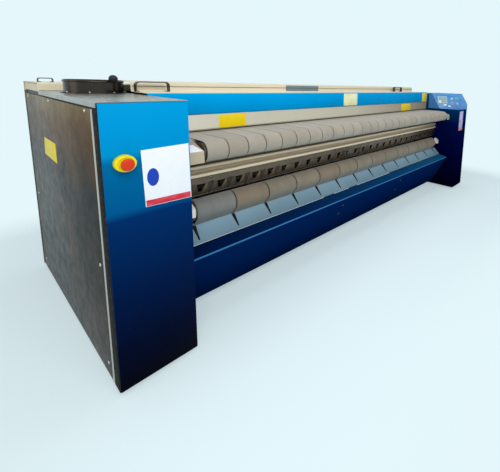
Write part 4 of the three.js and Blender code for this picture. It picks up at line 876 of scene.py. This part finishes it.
def side_door(side, x0, x1):
    """A pan-shaped side door with rounded edges and a bright folded flange in front."""
    node = side + "_side_panel"
    start, end, foot, head = low(node, Y), high(node, Y), low(node, Z), high(node, Z)
    Shape().block(Vector((x0, start + FLANGE_WIDTH, foot)), Vector((x1, end, head)), DOOR_EDGE).finish(
        side + "_side_door", metal["side"], slot="brushed_sheet", stands_for=[node])
    # The flange gets a brighter sheet than the door beside it: a painted highlight on its folded edge.
    Shape().block(Vector((x0, start, foot)), Vector((x1, start + FLANGE_WIDTH - FLANGE_SET, head)), DOOR_EDGE / 2
                  ).finish(side + "_side_door_flange", metal["flange"], slot="brushed_sheet", stands_for=[node])


side_door("left", low("left_side_panel", X) + DOOR_SET, high("left_side_panel", X))
side_door("right", low("right_side_panel", X), high("right_side_panel", X) - DOOR_SET)

Shape().block(Vector((LEFT_OUTER + DOOR_EDGE, FRONT, low("left_front_panel", Z))),
              Vector((LEFT_WALL, high("left_front_panel", Y), high("left_front_panel", Z))), DOOR_EDGE).finish(
    "left_front_door", paint["cabinet_blue"], slot="blue_paint", stands_for=["left_front_panel"])
# A black strip set in the recess between the front door and the side door's flange: painted shade that stands for the
# dark of that recess.
Shape().block(Vector((LEFT_OUTER + DOOR_SET, FRONT + RECESS_SHADE_SET, low("left_front_panel", Z))),
              Vector((LEFT_OUTER + DOOR_SET + RECESS_SHADE_DEPTH, low("left_side_panel", Y) - RECESS_SHADE_GAP,
                      high("left_front_panel", Z) - RECESS_SHADE_SET)), 0.001).finish(
    "left_front_recess_shade", moulded["joint_and_shade_black"], slot="black_paint")

# ---------------------------------------------------------------- guide strip under the feed belts

STRIP_FOLD, STRIP_KICK, STRIP_LIP, STRIP_WALL = 0.845, 0.03, 0.016, 0.002
NOTCH_WIDTH, NOTCH_DEPTH = 0.013, 0.014
WINDOW_TOP, WINDOW_FOOT = 0.058, 0.02
WINDOW_HEAD, WINDOW_SILL = 0.838, 0.782
TONGUE_WIDTH, TONGUE_THICKNESS = 0.011, 0.0016
TONGUE_SIDE, TONGUE_LEAN, TONGUE_DROP = 0.72, 0.4, 0.008


def on_strip(x, z):
    """A place on the strip's sloping face."""
    share = (STRIP_FOLD - z) / (STRIP_FOLD - low("belt_guide_strip", Z))
    return Vector((x, low("belt_guide_strip", Y) + STRIP_KICK * share, z))


def guide_strip():
    """The folded strip, drawn out from notch to notch, with a tapered window and a notch to each belt."""
    front, top, foot = low("belt_guide_strip", Y), high("belt_guide_strip", Z), low("belt_guide_strip", Z)
    path = [(front + STRIP_LIP, top), (front, top), (front, top - NOTCH_DEPTH), (front, STRIP_FOLD),
            (front + STRIP_KICK, foot)]
    shape = Shape()
    mesh = shape.mesh
    stations = [SKIN_START]
    for i in range(BELT_COUNT + 1):
        x = belt_start + i * BELT_PITCH
        stations += [x - NOTCH_WIDTH / 2, x + NOTCH_WIDTH / 2]
    stations.append(SKIN_END)
    _, edges = shape.chain(section(stations[0], path))
    for before, after in zip(stations, stations[1:]):
        made = bmesh.ops.extrude_edge_only(mesh, edges=edges)
        shape.push(made, RIGHTWARD * (after - before))
        edges = [e for e in picked(made, BMEdge) if all(abs(v.co.x - after) < 1e-6 for v in e.verts)]
    wide = [f for f in mesh.faces if BELT_PITCH / 2 < max(e.calc_length() for e in f.edges) < BELT_PITCH
            and f.calc_center_median().z < STRIP_FOLD]
    narrow = [f for f in mesh.faces if f.calc_center_median().z > top - NOTCH_DEPTH
              and max(v.co.x for v in f.verts) - min(v.co.x for v in f.verts) < NOTCH_WIDTH * 1.1]
    bmesh.ops.inset_individual(mesh, faces=wide, thickness=0.01)
    for face in wide:
        middle = face.calc_center_median()
        for v in face.verts:
            upper = v.co.z > middle.z
            reach = (WINDOW_TOP if upper else WINDOW_FOOT) / 2
            v.co = on_strip(middle.x + math.copysign(reach, v.co.x - middle.x), WINDOW_HEAD if upper else WINDOW_SILL)
    bmesh.ops.delete(mesh, geom=wide + narrow, context="FACES")
    bmesh.ops.recalc_face_normals(mesh, faces=mesh.faces)
    bmesh.ops.solidify(mesh, geom=list(mesh.faces), thickness=-STRIP_WALL)
    shape.finish("belt_guide_strip_pressed", metal["strip"], slot="brushed_sheet", stands_for=["belt_guide_strip"])


guide_strip()

tongues = Shape()
for i in range(BELT_COUNT):
    x = belt_start + (i + 0.5) * BELT_PITCH + WINDOW_TOP * TONGUE_SIDE
    upper, lower = on_strip(x, WINDOW_HEAD), on_strip(x - WINDOW_TOP * TONGUE_LEAN, WINDOW_SILL - TONGUE_DROP)
    run = (upper - lower).normalized()
    tongues.plate((upper + lower) / 2, run.cross(BACKWARD).normalized(), run, TONGUE_WIDTH,
                  (upper - lower).length, TONGUE_THICKNESS, 0.0005)
tongues.finish("belt_guide_strip_tongues", metal["ridge"], slot="brushed_sheet")

# ---------------------------------------------------------------- painted shade in the slide plate slits, and exit roller end blocks

SLIDE_LOW_Y, SLIDE_LOW_Z, SLIDE_RUN = 0.24, 0.496, 0.0856
SLIT_WIDE, SLIT_NARROW = 0.026, 0.009
SLIT_START, SLIT_END, SLIT_STAND = 0.18, 0.995, 0.0005
slide_out = Vector((0, -1, 1)).normalized()


def on_slide(x, share):
    """A place on the slide plate, from its foot at 0 to its head at 1."""
    return Vector((x, FRONT + SLIDE_LOW_Y + SLIDE_RUN * share, SLIDE_LOW_Z + SLIDE_RUN * share))


# Black tapered strips laid on the slide plate over its slits: painted shade that widens the dark of the openings.
slit_shades = Shape()
for i in range(BAND_COUNT + 1):
    x = belt_start + i * BAND_PITCH
    slit_shades.prism([on_slide(x - SLIT_NARROW / 2, SLIT_START), on_slide(x + SLIT_NARROW / 2, SLIT_START),
                 on_slide(x + SLIT_WIDE / 2, SLIT_END), on_slide(x - SLIT_WIDE / 2, SLIT_END)],
                slide_out * SLIT_STAND)
slit_shades.finish("slide_plate_slit_shade", moulded["joint_and_shade_black"], slot="black_paint")

END_BLOCK = [(0.305, 0.739), (0.262, 0.712), (0.262, 0.662), (0.305, 0.662)]
LEFT_BLOCK_GAP, RIGHT_BLOCK_GAP, BLOCK_BELT_GAP = 0.062, 0.02, 0.014
for side, x0, x1 in (("left", LEFT_WALL + LEFT_BLOCK_GAP, belt_start - BLOCK_BELT_GAP),
                     ("right", belt_end + BLOCK_BELT_GAP, RIGHT_WALL - RIGHT_BLOCK_GAP)):
    Shape().prism([Vector((x0, FRONT + y, z)) for y, z in END_BLOCK], RIGHTWARD * (x1 - x0), 0.0015).finish(
        f"exit_roller_{side}_block", moulded["white"], slot="cream_paint")

# ---------------------------------------------------------------- plates, screws and joint lines

PLATE = 0.0012


def face_plate(name, corners, out, material, body="machine", thickness=PLATE, slot=None):
    """A thin plate whose outline is given corner by corner on the surface that carries it."""
    return Shape().prism(corners, out * thickness, thickness / 4).finish(name, material, body, slot)


def front_plate(name, places, y, material, **settings):
    """A plate on a face that looks to the operator, its corners given along and up."""
    return face_plate(name, [at(x, y, z) for x, z in places], OUTWARD, material, **settings)


def rectangle(x0, x1, z0, z1):
    return [(x0, z0), (x1, z0), (x1, z1), (x0, z1)]


NOTICE = [(0.159, 0.906), (0.373, 0.901), (0.368, 1.185), (0.152, 1.178)]
NOTICE_FOOT = [(0.1625, 0.9075), (0.369, 0.9035), (0.3685, 0.933), (0.1615, 0.9365)]
NOTICE_DISC_X, NOTICE_DISC_HEIGHT, NOTICE_DISC_RADIUS, NOTICE_DISC_SQUEEZE = 0.197, 1.044, 0.043, 0.6
front_plate("left_notice_plate", NOTICE, 0, plates["white"], slot="cream_paint")
front_plate("left_notice_foot", NOTICE_FOOT, -PLATE, plates["red"], thickness=PLATE / 2)
face_plate("left_notice_disc", outline_disc(at(NOTICE_DISC_X, -PLATE, NOTICE_DISC_HEIGHT),
                                            RIGHTWARD * NOTICE_DISC_SQUEEZE, UPWARD, NOTICE_DISC_RADIUS),
           OUTWARD, plates["blue"], thickness=PLATE / 2)

SIDE_PLATE = [(1.194, 0.992), (0.864, 0.983), (0.862, 1.103), (1.163, 1.105)]
side_face = low("left_side_panel", X) + DOOR_SET - LEFT_OUTER
face_plate("left_side_plate", [at(side_face, y, z) for y, z in SIDE_PLATE], -RIGHTWARD, plates["gold"])

GUARD_PLATE_LOW, GUARD_PLATE_HIGH = 1.166, 1.258
for side, x0, x1 in (("left", 0.831, 1.048), ("right", 3.47, 3.73)):
    front_plate(f"finger_guard_{side}_plate", rectangle(x0, x1, GUARD_PLATE_LOW, GUARD_PLATE_HIGH),
                low("finger_guard", Y) - FRONT, plates["yellow"], body="finger_guard")

FASCIA_PLATE_LOW, FASCIA_PLATE_HIGH = 1.276, 1.402
for side, x0, x1, finish in (("middle", 2.226, 2.46, "ivory"), ("right", 4.075, 4.225, "yellow")):
    front_plate(f"fascia_{side}_plate", rectangle(x0, x1, FASCIA_PLATE_LOW, FASCIA_PLATE_HIGH),
                low("fascia", Y) - FRONT, plates[finish])

RIGHT_NOTICE = [(4.3, 0.872), (4.45, 0.876), (4.45, 1.158), (4.3, 1.154)]
RIGHT_NOTICE_FOOT = [(4.303, 0.875), (4.447, 0.879), (4.447, 0.915), (4.303, 0.911)]
front_plate("right_notice_plate", RIGHT_NOTICE, 0, plates["lilac"])
front_plate("right_notice_foot", RIGHT_NOTICE_FOOT, -PLATE, plates["red"], thickness=PLATE / 2)

COVER_HEAD, COVER_SHOULDER = (0.26, high("left_feed_end_cover", Z)), (0.13, 1.1)
cover_x0, cover_x1 = low("left_feed_end_cover", X) - LEFT_OUTER, high("left_feed_end_cover", X) - LEFT_OUTER


def on_cover(x, share):
    """A place on the end cover's slope, from its head at 0 to its shoulder at 1."""
    return at(x, COVER_HEAD[0] + (COVER_SHOULDER[0] - COVER_HEAD[0]) * share,
              COVER_HEAD[1] + (COVER_SHOULDER[1] - COVER_HEAD[1]) * share)


cover_down = (on_cover(0, 1) - on_cover(0, 0)).normalized()
cover_out = RIGHTWARD.cross(-cover_down)
COVER_PLATE_FROM, COVER_PLATE_TO, COVER_PLATE_MARGIN, COVER_PLATE_SLANT = 0.36, 0.97, 0.004, 0.02
COVER_DISC_X, COVER_DISC_SHARE, COVER_DISC_RADIUS = 0.036, 0.72, 0.03
plate_x0, plate_x1 = cover_x0 + COVER_PLATE_MARGIN, cover_x1 - COVER_PLATE_MARGIN
face_plate("left_end_cover_plate", [
    on_cover(plate_x0, COVER_PLATE_TO), on_cover(plate_x1, COVER_PLATE_TO),
    on_cover(plate_x1 - COVER_PLATE_SLANT, COVER_PLATE_FROM), on_cover(plate_x0, COVER_PLATE_FROM),
], cover_out, plates["white"])
disc_centre = on_cover(cover_x0 + COVER_DISC_X, COVER_DISC_SHARE) + cover_out * PLATE
face_plate("left_end_cover_disc", outline_disc(disc_centre, RIGHTWARD, -cover_down, COVER_DISC_RADIUS), cover_out,
           plates["blue"], thickness=PLATE / 2)

HOOD_PATCH = rectangle(1.673, 2.115, 1.418, 1.47)
HOOD_RISER, HOOD_PATCH_THICKNESS = 0.7635, 0.0009
front_plate("hood_patch_plate", HOOD_PATCH, HOOD_RISER, metal["patch"], body="hood", thickness=HOOD_PATCH_THICKNESS)

CAP_FRONT, CAP_BACK, CAP_LOW, CAP_HEIGHT, CAP_WALL, CAP_SET = 1.205, 1.69, 1.392, 0.05, 0.004, 0.006
end_caps = Shape()
for x in (LEFT_OUTER + CAP_SET, RIGHT_OUTER - CAP_SET - CAP_WALL):
    end_caps.block(Vector((x, FRONT + CAP_FRONT, CAP_LOW)),
                   Vector((x + CAP_WALL, FRONT + CAP_BACK, CAP_LOW + CAP_HEIGHT)), 0.001)
end_caps.finish("rear_top_cover_end_caps", paint["cream"], slot="cream_paint")

SIDE_SCREWS = [(0.149, 0.624), (0.186, 1.352), (0.927, 1.381), (1.6, 1.345), (1.6, 0.624), (0.149, 0.1), (1.6, 0.1)]
SCREW_RADIUS, SCREW_HEIGHT, SCREW_MARGIN = 0.009, 0.0036, 0.014
right_face = high("right_side_panel", X) - DOOR_SET - LEFT_OUTER
side_screws = Shape()
for y, z in SIDE_SCREWS:
    z = min(z, high("left_side_panel", Z) - SCREW_MARGIN)
    side_screws.bolt(at(side_face, y, z), -RIGHTWARD, SCREW_RADIUS, SCREW_HEIGHT)
    side_screws.bolt(at(right_face, y, z), RIGHTWARD, SCREW_RADIUS, SCREW_HEIGHT)
side_screws.finish("side_panel_screws", metal["zinc"], slot="turned_steel")

KICK_BOLTS = {1.84: (0.392, 0.293), 2.92: (0.392, 0.262)}
KICK_TOP, KICK_FOOT = Vector((0, 0.12, 0.469)), Vector((0, 0.325, 0.074))
kick_down = (KICK_FOOT - KICK_TOP).normalized()
kick_out = RIGHTWARD.cross(-kick_down).normalized()


def on_kick(x, z):
    """A place on the kick panel's sloping face."""
    share = (KICK_TOP.z - z) / (KICK_TOP.z - KICK_FOOT.z)
    place = KICK_TOP.lerp(KICK_FOOT, share)
    return at(x, place.y, place.z)


KICK_JOINT_SHIFT, KICK_JOINT_MIDDLE, KICK_JOINT_LENGTH, KICK_JOINT = 0.02, 0.2725, 0.4, 0.003
kick_bolts, kick_joints = Shape(), Shape()
for x, heights in KICK_BOLTS.items():
    for z in heights:
        kick_bolts.bolt(on_kick(x, z), kick_out, SCREW_RADIUS, SCREW_HEIGHT)
    kick_joints.plate(on_kick(x + KICK_JOINT_SHIFT, KICK_JOINT_MIDDLE), RIGHTWARD, -kick_down, KICK_JOINT,
                      KICK_JOINT_LENGTH, 0.0006, 0.0002)
kick_bolts.finish("kick_panel_bolts", metal["dark"], slot="dark_steel")
kick_joints.finish("kick_panel_joints", moulded["joint_and_shade_black"], slot="black_paint")

HOOD_SEAM_X, HOOD_SEAM_HEIGHT, HOOD_SEAM_LENGTH, HOOD_SEAM_WIDTH = 2.3135, 1.446, 3.86, 0.003
Shape().plate(at(HOOD_SEAM_X, HOOD_RISER - 0.001, HOOD_SEAM_HEIGHT), RIGHTWARD, UPWARD, HOOD_SEAM_LENGTH,
              HOOD_SEAM_WIDTH, 0.0008, 0.0002).finish("hood_seam", moulded["joint_and_shade_black"], "hood", "black_paint")

# ---------------------------------------------------------------- console

CONSOLE_FOOT, CONSOLE_HEAD, CONSOLE_SKEW = 0.29, 0.43, 0.958
console_low, console_top = low("console_housing", Z), high("console_housing", Z)
wall = RIGHT_WALL - LEFT_OUTER
console_width = RIGHT_OUTER - RIGHT_WALL
face_foot = at(wall, CONSOLE_FOOT, console_low)
face_head = at(wall, CONSOLE_HEAD, console_top)
face_across = Vector((1, -CONSOLE_SKEW, 0)).normalized()
face_up = face_head - face_foot
face_up = (face_up - face_across * face_up.dot(face_across)).normalized()
face_out = face_across.cross(face_up)
face_far = at(wall + console_width, CONSOLE_HEAD - console_width * CONSOLE_SKEW, console_top)
face_near = at(wall + CONSOLE_FOOT / CONSOLE_SKEW, 0, console_low)
face_centre = (face_foot + face_head + face_far + face_near) / 4
face_centre -= face_out * (face_centre - face_foot).dot(face_out)
step_share = (console_width * CONSOLE_SKEW - CONSOLE_FOOT) / (CONSOLE_HEAD - CONSOLE_FOOT)
face_step = at(wall + console_width, 0, console_low + step_share * (console_top - console_low))


def on_console(u, v, lift=0.0):
    """A place on the console's face: across, up and off it, from its middle."""
    return face_centre + face_across * u + face_up * v + face_out * lift


OVERLAY, OVERLAY_INSET = 0.0012, 0.012
overlay = Shape()
panel = overlay.outline((face_foot, face_near, face_step, face_far, face_head))
border = bmesh.ops.inset_region(overlay.mesh, faces=[panel], thickness=OVERLAY_INSET, use_even_offset=True)
bmesh.ops.delete(overlay.mesh, geom=border["faces"], context="FACES")
overlay.raised(panel, face_out * OVERLAY, OVERLAY / 3).finish("console_overlay", plates["overlay"],
                                                              slot="light_blue_paint")

DISPLAY_U, DISPLAY_V = -0.118, 0.016
DISPLAY_WIDTH, DISPLAY_HEIGHT, DISPLAY_STAND = 0.12, 0.088, 0.004
GLASS_WIDTH, GLASS_HEIGHT, GLASS = DISPLAY_WIDTH * 0.985, DISPLAY_HEIGHT * 0.98, 0.0012
Shape().plate(on_console(DISPLAY_U, DISPLAY_V, DISPLAY_STAND / 2), face_across, face_up, GLASS_WIDTH, GLASS_HEIGHT,
              GLASS, GLASS / 3).finish("console_display_window", plates["display"], slot="pale_steel")
FRAME_WIDTH, FRAME_STAND = 0.012, 0.0016
frame_upright, frame_rail = (FRAME_WIDTH, DISPLAY_HEIGHT + FRAME_WIDTH * 2), (DISPLAY_WIDTH, FRAME_WIDTH)
frame_piece = Shape()
for du, dv, sides in ((-0.5, 0, frame_upright), (0.5, 0, frame_upright), (0, -0.5, frame_rail), (0, 0.5, frame_rail)):
    spot = on_console(DISPLAY_U + du * (DISPLAY_WIDTH + FRAME_WIDTH), DISPLAY_V + dv * (DISPLAY_HEIGHT + FRAME_WIDTH),
                      DISPLAY_STAND)
    frame_piece.plate(spot, face_across, face_up, *sides, FRAME_STAND, 0.0005)
frame_piece.finish("console_display_frame", moulded["light"], slot="light_blue_paint")

BUTTON_SPOTS = {"yellow": (0.034, 0.038, "ice"), "green": (0.112, 0.038, "teal"), "red": (0.034, -0.04, "rose"),
                "blue": (0.112, -0.04, "sky")}
BUTTON_RADIUS, BUTTON_STAND, BUTTON_DEPTH, BUTTON_COLLAR = 0.015, 0.008, 0.0107, 0.0045
for colour, (u, v, finish) in BUTTON_SPOTS.items():
    Shape().turned([(-BUTTON_DEPTH, 0.0), (-BUTTON_DEPTH, BUTTON_RADIUS), (BUTTON_STAND - 0.0025, BUTTON_RADIUS),
                    (BUTTON_STAND - 0.001, BUTTON_RADIUS - 0.0008), (BUTTON_STAND - 0.0003, BUTTON_RADIUS - 0.0024),
                    (BUTTON_STAND, BUTTON_RADIUS * 0.6), (BUTTON_STAND - 0.0006, 0.0)], on_console(u, v), face_out,
                   48).finish(f"button_{colour}_moulded", moulded[finish], f"button_{colour}",
                              stands_for=[f"button_{colour}"])
    ring = BUTTON_RADIUS + 0.0012
    Shape().turned([(OVERLAY, ring), (OVERLAY, ring + BUTTON_COLLAR), (OVERLAY + 0.002, ring + BUTTON_COLLAR),
                    (OVERLAY + 0.0035, ring + BUTTON_COLLAR * 0.7), (OVERLAY + 0.0035, ring)], on_console(u, v),
                   face_out, 48, closed=True).finish(f"button_{colour}_collar", metal["zinc"], slot="turned_steel")

LABEL_FIELDS = [(-0.082, -0.063, 0.05, 0.02), (-0.016, -0.082, 0.042, 0.018)]
label_fields = Shape()
for u, v, width, height in LABEL_FIELDS:
    label_fields.plate(on_console(u, v, OVERLAY), face_across, face_up, width, height, 0.0008, 0.0003)
label_fields.finish("console_label_fields", plates["white"])

# ---------------------------------------------------------------- floor, backdrop and lights

PALE = srgb(229, 247, 251)
FLOOR_HALF = 40
FADE_START, FADE_END = 0.1, 1.5
FLOOR_GLOW = 0.45
ROOM_TONE = (0.9, 0.95, 1.0)
ROOM_LEVEL = 0.42


def seen_directly(tree):
    """One for camera, glossy and transmission rays: what eyes, mirrors and glass see."""
    rays = add_node(tree, "ShaderNodeLightPath").outputs
    seen = rays["Is Camera Ray"]
    for kind in ("Is Glossy Ray", "Is Transmission Ray"):
        seen = add_node(tree, "ShaderNodeMath", {0: seen, 1: rays[kind]}, operation="MAXIMUM").outputs[0]
    return seen


def background():
    """A pale backdrop to look at, and a dimmer, slightly cooler room to be lit by."""
    world = bpy.data.worlds.new("studio")
    world.use_nodes = True
    tree = world.node_tree
    room = tree.nodes["Background"]
    feed(tree, room.inputs["Color"], ROOM_TONE)
    feed(tree, room.inputs["Strength"], ROOM_LEVEL)
    backdrop = add_node(tree, "ShaderNodeBackground", {"Color": PALE})
    choose = add_node(tree, "ShaderNodeMixShader",
                      {0: seen_directly(tree), 1: room.outputs[0], 2: backdrop.outputs[0]})
    feed(tree, tree.nodes["World Output"].inputs["Surface"], choose.outputs[0])
    bpy.context.scene.world = world


def floor():
    """A pale floor that takes the machine's shadow and melts into the backdrop further out."""
    look = Look("pale_floor", roughness=0.9, specular_ior_level=0.1)
    look.colour(look.mix(look.noise(0.6), darker(PALE, 0.97), PALE))
    beside = [look.math("MAXIMUM", look.math("SUBTRACT", look.math("ABSOLUTE", look.axis(axis)), cad_box[1][axis]))
              for axis in (X, Y)]
    reach = look.math("SQRT", look.math("ADD", *(look.math("POWER", off, 2.0) for off in beside)))
    away = look.node("ShaderNodeMapRange", {"Value": reach, "From Min": FADE_START, "From Max": FADE_END},
                     interpolation_type="SMOOTHSTEP").outputs[0]
    glow = look.node("ShaderNodeEmission", {"Color": PALE, "Strength": 1.0}).outputs[0]
    share = look.math("MULTIPLY", look.math("MAXIMUM", away, FLOOR_GLOW), seen_directly(look.tree))
    blend = look.node("ShaderNodeMixShader", {0: share, 1: look.shader.outputs[0], 2: glow}).outputs[0]
    feed(look.tree, look.tree.nodes["Material Output"].inputs["Surface"], blend)
    sheet = bmesh.new()
    bmesh.ops.create_grid(sheet, x_segments=1, y_segments=1, size=FLOOR_HALF)
    stand("floor", sheet, look.done())


def area_light(name, place, aim, size, watts, colour=(1, 1, 1)):
    """A soft rectangular light that faces a point."""
    data = bpy.data.lights.new(name, "AREA")
    data.shape = "RECTANGLE"
    data.size, data.size_y = size
    data.energy = watts
    data.color = colour
    obj = bpy.data.objects.new(name, data)
    obj.location = place
    obj.rotation_euler = (Vector(aim) - Vector(place)).to_track_quat("-Z", "Y").to_euler()
    bpy.context.scene.collection.objects.link(obj)


background()
floor()
area_light("key", (-2.5, -4.8, 4.2), (-0.4, 0, 0.9), (5, 2.5), 190)
area_light("overhead", (0, -0.3, 4.6), (0, 0, 0), (7, 2.5), 70)
area_light("side", (-6.5, 0.5, 2.4), (-2.3, 0, 0.8), (2.5, 2.5), 40, (1.0, 0.95, 0.88))

bpy.context.scene.view_settings.view_transform = "Standard"
